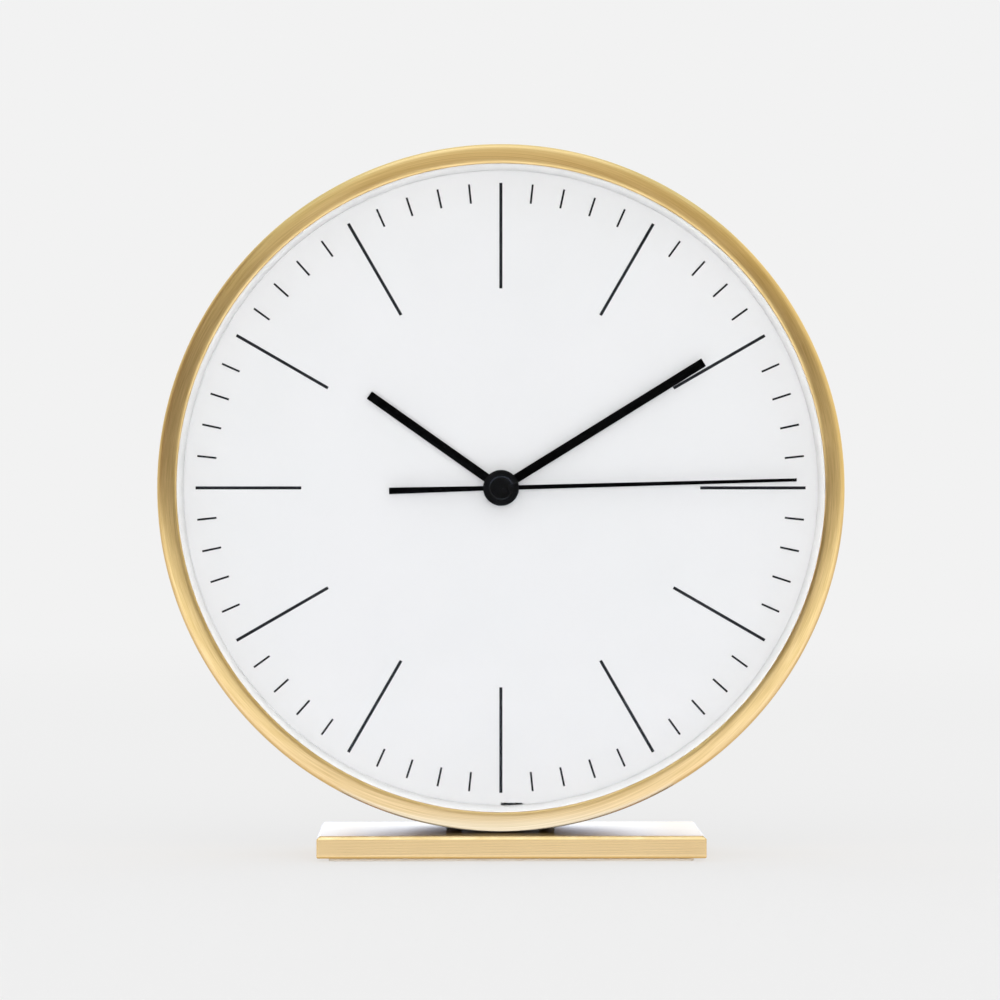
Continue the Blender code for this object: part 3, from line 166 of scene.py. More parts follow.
def linked(name, data):
    """A new object in the scene."""
    obj = bpy.data.objects.new(name, data)
    bpy.context.scene.collection.objects.link(obj)
    return obj


def evaluated_copy(obj):
    """What an object's modifiers or its bevel make of it, as a bmesh."""
    evaluated = obj.evaluated_get(bpy.context.evaluated_depsgraph_get())
    bm = bmesh.new()
    bm.from_mesh(evaluated.to_mesh())
    evaluated.to_mesh_clear()
    return bm


def joined(parts):
    """Several meshes in one."""
    result = bmesh.new()
    for bm in parts:
        mesh = mesh_of("part", bm)
        result.from_mesh(mesh)
        bpy.data.meshes.remove(mesh)
    return result


def round_along(bm, axis, corner, steps):
    """Rounds the edges of a box that run along one axis."""
    edges = [edge for edge in bm.edges
             if abs(edge.verts[0].co[axis] - edge.verts[1].co[axis]) > MERGE]
    bmesh.ops.bevel(bm, geom=edges, offset=corner, offset_type="OFFSET", segments=steps,
                    profile=0.5, affect="EDGES", material=-1)
    return bm


def rounded_plate(left, right, floor, top, front, back, corner, steps=6):
    """A plate with round corners, made from a box by bevelling its four edges along the depth."""
    return round_along(slab((left, front, floor), (right, back, top)), 1, corner, steps)


def upright(x, y, z, height, low_radius, high_radius):
    """A cone or a cylinder that stands upright, given by its middle."""
    bm = bmesh.new()
    bmesh.ops.create_cone(bm, cap_ends=True, segments=32, radius1=low_radius,
                          radius2=high_radius, depth=height,
                          matrix=Matrix.Translation((x, y, z)))
    return bm


def split_by(bm, point, normal, **options):
    """Cuts a mesh by a plane. The options may clear one side."""
    bmesh.ops.bisect_plane(bm, geom=bm.verts[:] + bm.edges[:] + bm.faces[:], plane_co=point,
                           plane_no=normal, **options)


print("sides of a turned piece:", TURN_SIDES)

# %% [markdown]
# ## Cutting and joining solids
#
# Holes, slots and windows are cut with the exact Boolean. The modifier is applied at once, so the
# finished piece is a plain mesh with no modifiers left.

# %% Boolean helper
BOOLEAN_WORDS = {"cut": "DIFFERENCE", "join": "UNION"}
FAR = 1 * MM  # how far a cutter reaches past what it cuts


def carve(bm, steps):
    """Runs a list of ("cut" or "join", mesh) steps on a mesh and returns the result."""
    body = scratch_object("carve_body", bm)
    tools = []
    for word, tool_mesh in steps:
        tool = scratch_object("carve_tool", tool_mesh)
        modifier = body.modifiers.new(word, "BOOLEAN")
        modifier.operation = BOOLEAN_WORDS[word]
        modifier.solver = "EXACT"
        modifier.object = tool
        tools.append(tool)
    result = evaluated_copy(body)
    for obj in (body, *tools):
        mesh = obj.data
        bpy.data.objects.remove(obj)
        bpy.data.meshes.remove(mesh)
    bmesh.ops.remove_doubles(result, verts=result.verts, dist=MERGE)
    return result


def scratch_object(name, bm):
    """A short-lived object, which a Boolean needs in place of a bare mesh."""
    bmesh.ops.recalc_face_normals(bm, faces=bm.faces)
    return linked(name, mesh_of(name, bm))


# %% [markdown]
# ## Finished pieces
#
# A finished piece keeps its place in its mesh and its object at the origin, as the model's own
# parts do. Its faces have to point outwards. The recalculation can turn a slotted screw inside
# out, which shows as a negative volume, and then the faces are turned back. At last the piece gets
# its finish, and is told which body it moves with and which plain parts it stands for.

# %% Finished-piece helper
made = []


def piece(name, bm, material, body, stands_for=()):
    """Makes a mesh into a piece of the clock. The material may be a list of them."""
    bmesh.ops.recalc_face_normals(bm, faces=bm.faces)
    if bm.calc_volume(signed=True) < 0:
        bmesh.ops.reverse_faces(bm, faces=bm.faces)
    mesh = mesh_of(name, bm)
    for entry in material if isinstance(material, list) else [material]:
        mesh.materials.append(entry)
    mesh.shade_smooth()
    mesh.set_sharp_from_angle(angle=SHARP)
    obj = linked(name, mesh)
    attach(obj, body)
    if stands_for:
        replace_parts(obj, *stands_for)
    made.append(obj)
    print(name, "faces:", len(mesh.polygons))
    return obj


# %% [markdown]
# ## Small helpers for shader nodes
#
# A finish is a Principled shader whose colour, roughness and bump vary over the surface. Numbers
# that are the same everywhere are typed on the shader's own sockets. The helpers below only save
# typing. They add a node, do a sum, make noise, clear a surface where a share says so, and start a
# material with an Object coordinate ready to use.

# %% Node helpers
def add_node(tree, kind, inputs=None, **settings):
    """Adds a node, sets its properties, and fills or links its inputs."""
    node = tree.nodes.new(kind)
    for key, value in settings.items():
        setattr(node, key, value)
    for key, value in (inputs or {}).items():
        if isinstance(value, bpy.types.NodeSocket):
            tree.links.new(value, node.inputs[key])
        else:
            node.inputs[key].default_value = value
    return node


def calc(tree, operation, first, second):
    """The result of a Math node. Each of its two values is a number or a socket."""
    return add_node(tree, "ShaderNodeMath", {0: first, 1: second}, operation=operation).outputs[0]


def vector_calc(tree, operation, vector, **others):
    """The outputs of a Vector Math node: a vector, and for a length its Value."""
    return add_node(tree, "ShaderNodeVectorMath", {0: vector, **others},
                    operation=operation).outputs


def noise(tree, vector, scale, detail, **others):
    """Smooth noise from 0 to 1."""
    inputs = {"Vector": vector, "Scale": scale, "Detail": detail, **others}
    return add_node(tree, "ShaderNodeTexNoise", inputs).outputs["Fac"]


def clear_where(tree, share, surface):
    """Ends a material. Where the share is 1, its surface is fully clear."""
    clear = add_node(tree, "ShaderNodeBsdfTransparent")
    mix = add_node(tree, "ShaderNodeMixShader", {"Fac": share, 1: surface, 2: clear.outputs[0]})
    tree.links.new(mix.outputs[0], tree.nodes["Material Output"].inputs["Surface"])


def new_finish(name, colour, roughness, metallic=0.0, **sockets):
    """A material with a Principled shader. Returns it with its tree, shader and coordinates."""
    material = bpy.data.materials.new(name)
    material.use_nodes = True
    tree = material.node_tree
    shader = tree.nodes["Principled BSDF"]
    fixed = {"Base_Color": (*colour, 1), "Roughness": roughness, "Metallic": metallic, **sockets}
    for key, value in fixed.items():
        shader.inputs[key.replace("_", " ")].default_value = value
    coordinate = add_node(tree, "ShaderNodeTexCoord").outputs["Object"]
    return material, tree, shader, coordinate


def new_group(name, inputs, outputs):
    """A shader node group with named float or vector sockets."""
    group = bpy.data.node_groups.new(name, "ShaderNodeTree")
    for direction, entries in (("INPUT", inputs), ("OUTPUT", outputs)):
        for key, kind in entries.items():
            group.interface.new_socket(name=key, in_out=direction, socket_type=kind)
    given = group.nodes.new("NodeGroupInput").outputs
    return group, given, group.nodes.new("NodeGroupOutput").inputs


FLOAT, VECTOR = "NodeSocketFloat", "NodeSocketVector"

# %% [markdown]
# ## Shared effect: brushed metal
#
# The case is brushed with a belt while it turns, which leaves fine lines that run round it. In the
# photograph these lines are just visible as short streaks of lighter and darker brass. The group
# stretches noise along the lines. It takes two numbers: the place across the lines, where the
# pattern changes quickly, and a direction vector along them, where it changes slowly.

# %% The brushed group
def make_brushed_group():
    group, given, result = new_group(
        "brushed lines", {"Along": VECTOR, "Across": FLOAT, "Fineness": FLOAT},
        {"Streaks": FLOAT, "Patches": FLOAT})
    fine = calc(group, "MULTIPLY", given["Across"], given["Fineness"])
    offset = add_node(group, "ShaderNodeCombineXYZ", {"X": fine})
    place = add_node(group, "ShaderNodeVectorMath", {0: given["Along"], 1: offset.outputs[0]},
                     operation="ADD")
    streaks = noise(group, place.outputs[0], 1.0, 3.0, Roughness=0.65)
    patches = noise(group, given["Along"], 0.35, 2.0)
    group.links.new(streaks, result["Streaks"])
    group.links.new(patches, result["Patches"])
    return group


BRUSHED = make_brushed_group()

# %% [markdown]
# ## Shared effect: fine grain
#
# Moulded plastic, lacquer and rubber are never mirror smooth. One group gives them a grain: a
# small noise for the bump and a larger one that changes the gloss a little from place to place,
# as handling and dust do.

# %% The grain group
def make_grain_group():
    group, given, result = new_group("fine grain", {"Vector": VECTOR, "Fineness": FLOAT},
                                     {"Grain": FLOAT, "Clouds": FLOAT})
    group.links.new(noise(group, given["Vector"], given["Fineness"], 2.0), result["Grain"])
    group.links.new(noise(group, given["Vector"], 45.0, 3.0), result["Clouds"])
    return group


GRAIN = make_grain_group()


def grain_at(tree, place, fineness):
    """Places the grain group in a material and returns its outputs."""
    return add_node(tree, "ShaderNodeGroup", {"Vector": place, "Fineness": fineness},
                    node_tree=GRAIN).outputs


def tinted(tree, value, dark, light):
    """A colour between two, chosen by a value."""
    ramp = add_node(tree, "ShaderNodeValToRGB", {"Fac": value})
    for stop, position, colour in zip(ramp.color_ramp.elements, (0.3, 0.7), (dark, light)):
        stop.position = position
        stop.color = (*colour, 1)
    return ramp.outputs["Color"]


def coloured(tree, shader, value, dark, light):
    """Feeds a colour between two into the shader."""
    tree.links.new(tinted(tree, value, dark, light), shader.inputs["Base Color"])


def glossed(tree, shader, value, gloss):
    """Feeds a roughness from a (lowest, highest) pair into the shader."""
    spread = add_node(tree, "ShaderNodeMapRange", {"Value": value, "From Min": 0.25,
                                                   "From Max": 0.75, "To Min": gloss[0],
                                                   "To Max": gloss[1]})
    tree.links.new(spread.outputs[0], shader.inputs["Roughness"])


def bumped(tree, shader, height, strength, distance):
    """Feeds a height into the shader's normal."""
    bump = add_node(tree, "ShaderNodeBump", {"Height": height, "Strength": strength,
                                             "Distance": distance})
    tree.links.new(bump.outputs["Normal"], shader.inputs["Normal"])


# %% [markdown]
# ## Satin brass
#
# Brass reflects only with its own colour, so Metallic is 1 and the colour does all the work. The
# brushing spreads each reflection across the lines, which is what Anisotropic does, with a Tangent
# node to say which way the lines run. The round case uses a tangent round the Y axis. The plate
# was brushed along its length, so its tangent comes from the plate's own UV map.

# %% Brass finishes
BRASS = (0.75, 0.50, 0.19)
BRASS_DARK = (0.64, 0.41, 0.134)
BRASS_LIGHT = (0.86, 0.59, 0.250)
BRASS_ROUGHNESS = 0.34
BRUSHING = {"Anisotropic": 0.75, "Anisotropic_Rotation": 0.25}
ROUND_FINENESS, ROUND_LENGTH, ROUND_GLOSS = 3000.0, 9.0, (0.30, 0.40)
STRAIGHT_FINENESS, STRAIGHT_LENGTH, STRAIGHT_GLOSS = 5200.0, 90.0, (0.20, 0.27)


def brass_surface(tree, shader, along, across, fineness, gloss, tangent):
    """Colour, roughness, bump and direction of brushed brass."""
    lines = add_node(tree, "ShaderNodeGroup",
                     {"Along": along, "Across": across, "Fineness": fineness},
                     node_tree=BRUSHED).outputs
    coloured(tree, shader, lines["Streaks"], BRASS_DARK, BRASS_LIGHT)
    glossed(tree, shader, lines["Patches"], gloss)
    bumped(tree, shader, lines["Streaks"], 0.25, 0.02 * MM)
    tree.links.new(tangent.outputs[0], shader.inputs["Tangent"])


def make_round_brass():
    """Lines that run round the hands' axis, on the front, the outside and the bore alike."""
    material, tree, shader, place = new_finish("satin brass, brushed round", BRASS,
                                               BRASS_ROUGHNESS, 1.0, **BRUSHING)
    centred = add_node(tree, "ShaderNodeMapping",
                       {"Vector": place, "Location": (-AXIS_X, -FRONT_Y, -AXIS_Z)})
    split = add_node(tree, "ShaderNodeSeparateXYZ", {0: centred.outputs[0]}).outputs
    flat = add_node(tree, "ShaderNodeCombineXYZ", {"X": split["X"], "Z": split["Z"]}).outputs[0]
    radius = vector_calc(tree, "LENGTH", flat)["Value"]
    direction = vector_calc(tree, "NORMALIZE", flat)[0]
    along = vector_calc(tree, "SCALE", direction, Scale=ROUND_LENGTH)[0]
    across = calc(tree, "ADD", radius, split["Y"])
    tangent = add_node(tree, "ShaderNodeTangent", direction_type="RADIAL", axis="Y")
    brass_surface(tree, shader, along, across, ROUND_FINENESS, ROUND_GLOSS, tangent)
    return material


def make_straight_brass():
    """Lines that run along the plate, from left to right."""
    material, tree, shader, place = new_finish("satin brass, brushed straight", BRASS,
                                               BRASS_ROUGHNESS, 1.0, **BRUSHING)
    split = add_node(tree, "ShaderNodeSeparateXYZ", {0: place}).outputs
    line = add_node(tree, "ShaderNodeCombineXYZ", {"X": split["X"]}).outputs[0]
    along = vector_calc(tree, "SCALE", line, Scale=STRAIGHT_LENGTH)[0]
    across = calc(tree, "SUBTRACT", split["Y"], split["Z"])
    tangent = add_node(tree, "ShaderNodeTangent", direction_type="UV_MAP", uv_map="brush")
    brass_surface(tree, shader, along, across, STRAIGHT_FINENESS, STRAIGHT_GLOSS, tangent)
    return material


ROUND_BRASS = make_round_brass()
STRAIGHT_BRASS = make_straight_brass()

# %% [markdown]
# ## Lacquers, plastics and rubber
#
# These finishes share one recipe: a base colour with a slight drift, a gloss that drifts with it,
# and a grain that fits the material. Only the numbers differ, so one function makes them all. The
# grain of moulded plastic is coarse enough to see up close, and lacquer has a much finer one.

# %% Painted and moulded finishes
def grained(name, dark, light, gloss, fineness, strength, depth, **sockets):
    """A finish with grain. The gloss is a (lowest, highest) roughness."""
    material, tree, shader, place = new_finish(name, light, gloss[0], **sockets)
    grain = grain_at(tree, place, fineness)
    coloured(tree, shader, grain["Clouds"], dark, light)
    glossed(tree, shader, grain["Clouds"], gloss)
    bumped(tree, shader, grain["Grain"], strength, depth)
    return material


DIAL_LACQUER = grained("matt white lacquer", (0.805, 0.805, 0.812), (0.82, 0.82, 0.827),
                       (0.50, 0.58), 1800.0, 0.08, 0.01 * MM)
DIAL_INK = grained("black dial ink", (0.006, 0.006, 0.007), (0.014, 0.014, 0.016),
                   (0.45, 0.6), 2600.0, 0.1, 0.01 * MM, Specular_IOR_Level=0.2)
HAND_LACQUER = grained("dead black lacquer", (0.0015, 0.0015, 0.0017),
                       (0.0028, 0.0028, 0.003), (0.20, 0.28), 2400.0, 0.12, 0.01 * MM,
                       Specular_IOR_Level=0.015)
CAP_LACQUER = grained("satin black lacquer", (0.003, 0.003, 0.0032), (0.005, 0.005, 0.0054),
                      (0.18, 0.26), 2400.0, 0.12, 0.01 * MM, Specular_IOR_Level=0.14)
COVER_LACQUER = grained("black powder coat", (0.014, 0.014, 0.0145), (0.026, 0.026, 0.027),
                        (0.42, 0.55), 1500.0, 0.5, 0.06 * MM, Specular_IOR_Level=0.25)
BLACK_PLASTIC = grained("moulded black plastic", (0.014, 0.014, 0.0145), (0.030, 0.030, 0.031),
                        (0.42, 0.6), 2200.0, 0.45, 0.04 * MM, Specular_IOR_Level=0.3)
KNOB_PLASTIC = grained("knob plastic", (0.020, 0.020, 0.021), (0.036, 0.036, 0.038),
                       (0.34, 0.46), 2600.0, 0.2, 0.03 * MM)
WHITE_PLASTIC = grained("white styrene", (0.94, 0.94, 0.936), (0.965, 0.965, 0.96),
                        (0.38, 0.48), 900.0, 0.06, 0.02 * MM)
NYLON = grained("natural nylon", (0.76, 0.75, 0.69), (0.85, 0.84, 0.79), (0.42, 0.55), 1400.0,
                0.15, 0.03 * MM)
RUBBER = grained("pale rubber", (0.76, 0.755, 0.74), (0.86, 0.855, 0.84), (0.70, 0.85),
                 1900.0, 0.5, 0.06 * MM)

# %% [markdown]
# ## Steel, copper wire and the circuit board
#
# Zinc plating has faint cloudy crystals. The coil is hundreds of turns of thin wire, which a wave
# pattern across its length stands for. The board is green solder mask over copper tracks, drawn
# with a brick pattern whose mortar makes the tracks.

# %% Metal and board finishes
def make_steel():
    material, tree, shader, place = new_finish("bright zinc", (0.60, 0.61, 0.63), 0.3, 1.0)
    grain = grain_at(tree, place, 700.0)["Grain"]
    coloured(tree, shader, grain, (0.52, 0.53, 0.56), (0.68, 0.69, 0.70))
    glossed(tree, shader, grain, (0.22, 0.38))
    bumped(tree, shader, grain, 0.1, 0.02 * MM)
    return material


def make_turned_brass():
    material, tree, shader, place = new_finish("turned brass", BRASS, 0.3, 1.0)
    grain = grain_at(tree, place, 1500.0)
    coloured(tree, shader, grain["Grain"], BRASS_DARK, BRASS_LIGHT)
    glossed(tree, shader, grain["Clouds"], (0.22, 0.34))
    return material


def make_copper_wire():
    material, tree, shader, place = new_finish("enamelled copper wire", (0.72, 0.32, 0.16), 0.3,
                                               1.0)
    turns = add_node(tree, "ShaderNodeTexWave",
                     {"Vector": place, "Scale": 900.0, "Distortion": 0.6}, wave_type="BANDS",
                     bands_direction="X").outputs["Fac"]
    coloured(tree, shader, turns, (0.45, 0.17, 0.07), (0.80, 0.38, 0.19))
    bumped(tree, shader, turns, 0.6, 0.05 * MM)
    return material


def make_board():
    material, tree, shader, place = new_finish("green solder mask", (0.05, 0.2, 0.09), 0.4)
    turned = add_node(tree, "ShaderNodeMapping", {"Vector": place,
                                                  "Rotation": (math.pi / 2, 0, 0)})
    tracks = add_node(tree, "ShaderNodeTexBrick",
                      {"Vector": turned.outputs[0], "Scale": 120.0, "Mortar Size": 0.06,
                       "Color1": (0.020, 0.105, 0.045, 1), "Color2": (0.024, 0.120, 0.050, 1),
                       "Mortar": (0.060, 0.230, 0.090, 1)})
    tree.links.new(tracks.outputs["Color"], shader.inputs["Base Color"])
    bumped(tree, shader, tracks.outputs["Fac"], 0.3, 0.05 * MM)
    return material


STEEL = make_steel()
TURNED_BRASS = make_turned_brass()
COPPER_WIRE = make_copper_wire()
BOARD = make_board()

# %% [markdown]
# ## Glass
#
# The photograph shows no reflection in the pane at all, so its index of refraction is low, which
# stands for glass with an anti-reflection coat. It is a plain transmitting Principled shader. For
# shadow rays it turns fully clear, because light reaches a dial through real glass almost
# unchanged, and tracing those caustics would only add noise.

# %% Clear glass
PANE_IOR = 1.12


def make_glass():
    material, tree, shader, place = new_finish("clear flat glass", (0.99, 1.0, 0.995), 0.0,
                                               Transmission_Weight=1.0, IOR=PANE_IOR)
    clouds = grain_at(tree, place, 60.0)["Clouds"]
    coloured(tree, shader, clouds, (0.996, 1.0, 0.998), (1.0, 1.0, 1.0))
    path = add_node(tree, "ShaderNodeLightPath")
    clear_where(tree, path.outputs["Is Shadow Ray"], shader.outputs[0])
    return material


GLASS = make_glass()
print("materials:", len(bpy.data.materials))

# %% [markdown]
# ## The case
#
# The case is one brass ring with a domed rim in front. A flat rim would reflect the same thing all
# round. The photograph shows a rim that is golden at the top, darker at the sides and pale at the
# bottom, which only a rim that curves outwards can do. The profile is a small round on the inner
# lip, a gentle dome that leans outwards, and a tighter shoulder that turns into the side. The lugs
# for the back cover and the holes for the two screws below are joined and cut afterwards.

# %% The rim and the case
LIP_RADIUS = CASE_RADIUS - 5.0 * MM
LIP_ROUND = 0.45 * MM
CREST_RADIUS = LIP_RADIUS + 0.7 * MM
DOME_RADIUS = 13.3 * MM
DOME_TILT = math.radians(13)
DOME_STEPS = 6
SHOULDER_STEPS = 10
FIT = 0.3 * MM
glass_radius = half_width("front_glass")
front_bore = glass_radius + FIT
back_bore = half_width("rear_cover") + FIT
groove_radius = half_width("snap_ring") + FIT
groove_front = depths("snap_ring")[0] - FIT
groove_back = depths("snap_ring")[1] + FIT
step_depth = groove_back + 1.5 * MM
lip_back = depths("front_glass")[0] - FIT


def rim_profile():
    """(radius, depth) points from the inner lip over the crest to the side of the case."""
    lip = []
    for step in range(5):
        angle = step / 4 * math.pi / 2
        lip.append((LIP_RADIUS + LIP_ROUND * (1 - math.cos(angle)),
                    LIP_ROUND + 0.06 * MM - LIP_ROUND * math.sin(angle)))
    dome = []
    for step in range(DOME_STEPS + 1):
        angle = step / DOME_STEPS * DOME_TILT
        dome.append((CREST_RADIUS + DOME_RADIUS * math.sin(angle),
                     DOME_RADIUS * (1 - math.cos(angle))))
    start_radius, start_depth = dome[-1]
    round_radius = (CASE_RADIUS - start_radius) / (1 - math.sin(DOME_TILT))
    shoulder = []
    for step in range(1, SHOULDER_STEPS + 1):
        angle = DOME_TILT + step / SHOULDER_STEPS * (math.pi / 2 - DOME_TILT)
        shoulder.append(
            (start_radius + round_radius * (math.sin(angle) - math.sin(DOME_TILT)),
             start_depth + round_radius * (math.cos(DOME_TILT) - math.cos(angle))))
    return lip + dome + shoulder


def case_profile():
    edge = 0.4 * MM
    return [
        *rim_profile(),
        (CASE_RADIUS, CASE_DEPTH - edge),
        (CASE_RADIUS - edge * 0.3, CASE_DEPTH - edge * 0.3),
        (CASE_RADIUS - edge, CASE_DEPTH),
        (back_bore + edge * 0.5, CASE_DEPTH),
        (back_bore, CASE_DEPTH - edge * 0.5),
        (back_bore, step_depth),
        (front_bore, step_depth),
        (front_bore, groove_back),
        (groove_radius, groove_back),
        (groove_radius, groove_front),
        (front_bore, groove_front),
        (front_bore, lip_back),
        (LIP_RADIUS, lip_back),
    ]


LUG_LENGTH = 4.0 * MM
LUG_REACH = 8.0 * MM
LUG_HALF = 4.0 * MM
COVER_SCREW_RADIUS = 1.3 * MM
BASE_SCREW_RADIUS = 2.3 * MM
LUG_ANGLES = [math.radians(45 + 90 * index) for index in range(4)]
cover_front, cover_back = depths("rear_cover")
lug_back = cover_front - FIT
lug_front = lug_back - LUG_LENGTH
lug_screw_radius = back_bore - LUG_REACH / 2


def base_screw_middles():
    """The middles of the two screws that join the plate to the case."""
    for node in ("base_screw_left", "base_screw_right"):
        low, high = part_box(node)
        yield (low + high) / 2


def lug_holes(front, back):
    """Carving steps for the four holes of the cover's screws."""
    return [("cut", rod(COVER_SCREW_RADIUS + FIT, front, back, *around(angle, lug_screw_radius),
                        32)) for angle in LUG_ANGLES]


def make_case():
    steps = []
    for angle in LUG_ANGLES:
        lug = slab((-LUG_HALF, lug_front, back_bore - LUG_REACH),
                   (LUG_HALF, lug_back, (back_bore + CASE_RADIUS) / 2))
        lug.transform(Matrix.Rotation(angle, 4, "Y"))
        steps.append(("join", lug))
    steps += lug_holes(lug_front - FAR, lug_back + FAR)
    for middle in base_screw_middles():
        hole = upright(middle.x - AXIS_X, middle.y - FRONT_Y, -CASE_RADIUS, 12 * MM,
                       BASE_SCREW_RADIUS, BASE_SCREW_RADIUS)
        steps.append(("cut", hole))
    return carve(spun(case_profile()), steps)


piece("case_shell", placed(make_case()), ROUND_BRASS, "clock", ["case_drum"])

# %% [markdown]
# ## Glass, spacer and dial
#
# Behind the lip come a flat glass, a white spacer ring and the dial. The spacer is what the
# photograph shows as a white wall just inside the rim. It leans inwards a little, and its joint
# with the dial is the thin grey circle. The dial has a hole for the hands and a small slot just to
# the right of 6 o'clock, whose inner edge shows as a dark dash.

# %% The stack behind the lip
GLASS_EDGE = 1.0 * MM
SLOT_WIDTH = 5.6 * MM
SLOT_SHOWING = 0.6 * MM
SPACER_TAPER = 1.25 * MM
DIAL_HOLE = 4.35 * MM


def ring_between(inner, outer, front, back, inner_back=None):
    """A closed ring section. The inner side may lean."""
    return [(inner, front), (outer, front), (outer, back), (inner_back or inner, back)]


glass_front, glass_back = depths("front_glass")
glass_guard = glass_radius - GLASS_EDGE
glass_profile = [(0, glass_front), (glass_guard, glass_front), (glass_radius, glass_front),
                 (glass_radius, glass_back), (glass_guard, glass_back), (0, glass_back)]
piece("dial_glass", placed(soften(spun(glass_profile, closed=False), 0.2 * MM)), GLASS, "clock",
      ["front_glass"])

spacer_front, spacer_back = depths("glass_spacer")
spacer_profile = ring_between(LIP_RADIUS, glass_radius, spacer_front, spacer_back,
                              LIP_RADIUS - SPACER_TAPER)
spacer = piece("white_spacer", placed(soften(spun(spacer_profile), 0.15 * MM)), WHITE_PLASTIC,
               "clock", ["glass_spacer"])

dial_front, dial_back = depths("dial_plate")
slot_edge = LIP_RADIUS - SPACER_TAPER - SLOT_SHOWING


def make_dial():
    disc = spun(ring_between(DIAL_HOLE, glass_radius, dial_front, dial_back))
    slot = slab((0, dial_front - FAR, -glass_radius - FAR),
                (SLOT_WIDTH, dial_back + FAR, -slot_edge))
    return carve(disc, [("cut", slot)])


piece("dial_disc", placed(make_dial()), DIAL_LACQUER, "clock", ["dial_plate"])

# %% [markdown]
# ## Printed marks
#
# The dial has 12 long hour marks and 48 short minute marks. Screen-printed ink lies on the lacquer
# as a thin raised film, so each mark is a very flat bar that stands 0.04 mm proud. One box per
# mark is enough, because a printed bar has square ends.

# %% Hour and minute marks
MARK_OUTER = 78.15 * MM
HOUR_MARK = (51.1 * MM, 0.78 * MM)
MINUTE_MARK = (73.2 * MM, 0.52 * MM)
INK_HEIGHT = 0.04 * MM
INK_SINK = 0.02 * MM


def make_marks():
    bars = []
    for index in range(60):
        inner, width = HOUR_MARK if index % 5 == 0 else MINUTE_MARK
        bar = slab((-width / 2, dial_front - INK_HEIGHT, inner),
                   (width / 2, dial_front + INK_SINK, MARK_OUTER))
        bar.transform(Matrix.Rotation(index / 60 * math.tau, 4, "Y"))
        bars.append(bar)
    return joined(bars)


piece("dial_marks", placed(make_marks()), DIAL_INK, "clock")

# %% [markdown]
# ## Hands and cap
#
# The hands are plain steel bars, punched flat and lacquered black, with square ends. Each is a
# round eye joined to one or two bars, with a hole for its pipe. The narrow second hand grows
# slightly towards its tail. A turned cap covers the pipes. Its face is dished, and the crest
# around the dish is the thin grey ring in the photograph.

# %% The three hands
EYE_STEPS = 64
HAND_EDGE = 0.07 * MM


def tapered_bar(start, end, start_width, end_width, front, back):
    """A bar along +Z that grows or shrinks from one end to the other."""
    bm = slab((-0.5, front, start), (0.5, back, end))
    for vert in bm.verts:
        vert.co.x *= end_width if vert.co.z > (start + end) / 2 else start_width
    return bm


def make_hand(node, eye, bore, bars):
    front, back = depths(node)
    steps = [("join", tapered_bar(*bar, front, back)) for bar in bars]
    steps.append(("cut", rod(bore, front - FAR, back + FAR, sides=EYE_STEPS)))
    hand = carve(rod(eye, front, back, sides=EYE_STEPS), steps)
    bmesh.ops.dissolve_limit(hand, angle_limit=math.radians(0.5), verts=hand.verts,
                             edges=hand.edges)
    return soften(hand, HAND_EDGE)


HANDS = (
    ("hand_hours", "hour_hand", "hours", 305.2, 4.05 * MM, 2.9 * MM,
     [(3.5 * MM, 41.2 * MM, 2.3 * MM, 2.3 * MM)]),
    ("hand_minutes", "minute_hand", "minutes", 58.2, 3.2 * MM, 2.0 * MM,
     [(2.6 * MM, 61.0 * MM, 2.3 * MM, 2.3 * MM)]),
    ("hand_seconds", "second_hand", "seconds", 88.45, 3.2 * MM, 0.8 * MM,
     [(2.6 * MM, 75.6 * MM, 1.15 * MM, 0.8 * MM),
      (-28.6 * MM, -2.6 * MM, 1.7 * MM, 1.15 * MM)]),
)
for name, node, body, degrees, eye, bore, bars in HANDS:
    hand = placed(make_hand(node, eye, bore, bars), turn=math.radians(degrees))
    piece(name, hand, HAND_LACQUER, body, [node])

# %% The turned cap
CAP_RADIUS = half_width("hub_cap")
cap_front, cap_back = depths("hub_cap")
cap_floor = cap_front + 0.34 * MM
cap_profile = [
    (0, cap_floor),
    (2.55 * MM, cap_floor),
    (2.70 * MM, cap_floor),
    (2.82 * MM, cap_front + 0.29 * MM),
    (3.05 * MM, cap_front + 0.05 * MM),
    (3.18 * MM, cap_front),
    (3.30 * MM, cap_front),
    (CAP_RADIUS - 0.36 * MM, cap_front),
    (CAP_RADIUS - 0.24 * MM, cap_front),
    (CAP_RADIUS - 0.07 * MM, cap_front + 0.08 * MM),
    (CAP_RADIUS, cap_front + 0.28 * MM),
    (CAP_RADIUS, cap_back),
    (0, cap_back),
]
piece("cap_turned", placed(spun(cap_profile, 96, closed=False)), CAP_LACQUER, "seconds",
      ["hub_cap"])

# %% [markdown]
# ## The plate and its pad
#
# The clock stands on a flat brass plate. Its top edge is broken by a narrow bevel, which shows as
# a bright line, and every edge is slightly round. The plate gets a UV map that runs along its
# length on every face, because the brushing follows it. An edge loop just beside each bevel keeps
# the broad faces flat, because their shading would bend otherwise. Below the plate sits a thin
# rubber pad that hides the screws. The photograph shows no dark line under the plate, so the pad
# is pale.

# %% The base plate
TOP_BEVEL = 0.8 * MM
BEVEL_ROUND = 0.12 * MM
FOOT_ROUND = 0.4 * MM
FLAT_GUARD = 0.25 * MM
HEAD_RADIUS = 5.2 * MM
HEAD_HEIGHT = 3.2 * MM
HEAD_MIDDLE = 0.6 * MM
PAD_CORNER = 2 * MM


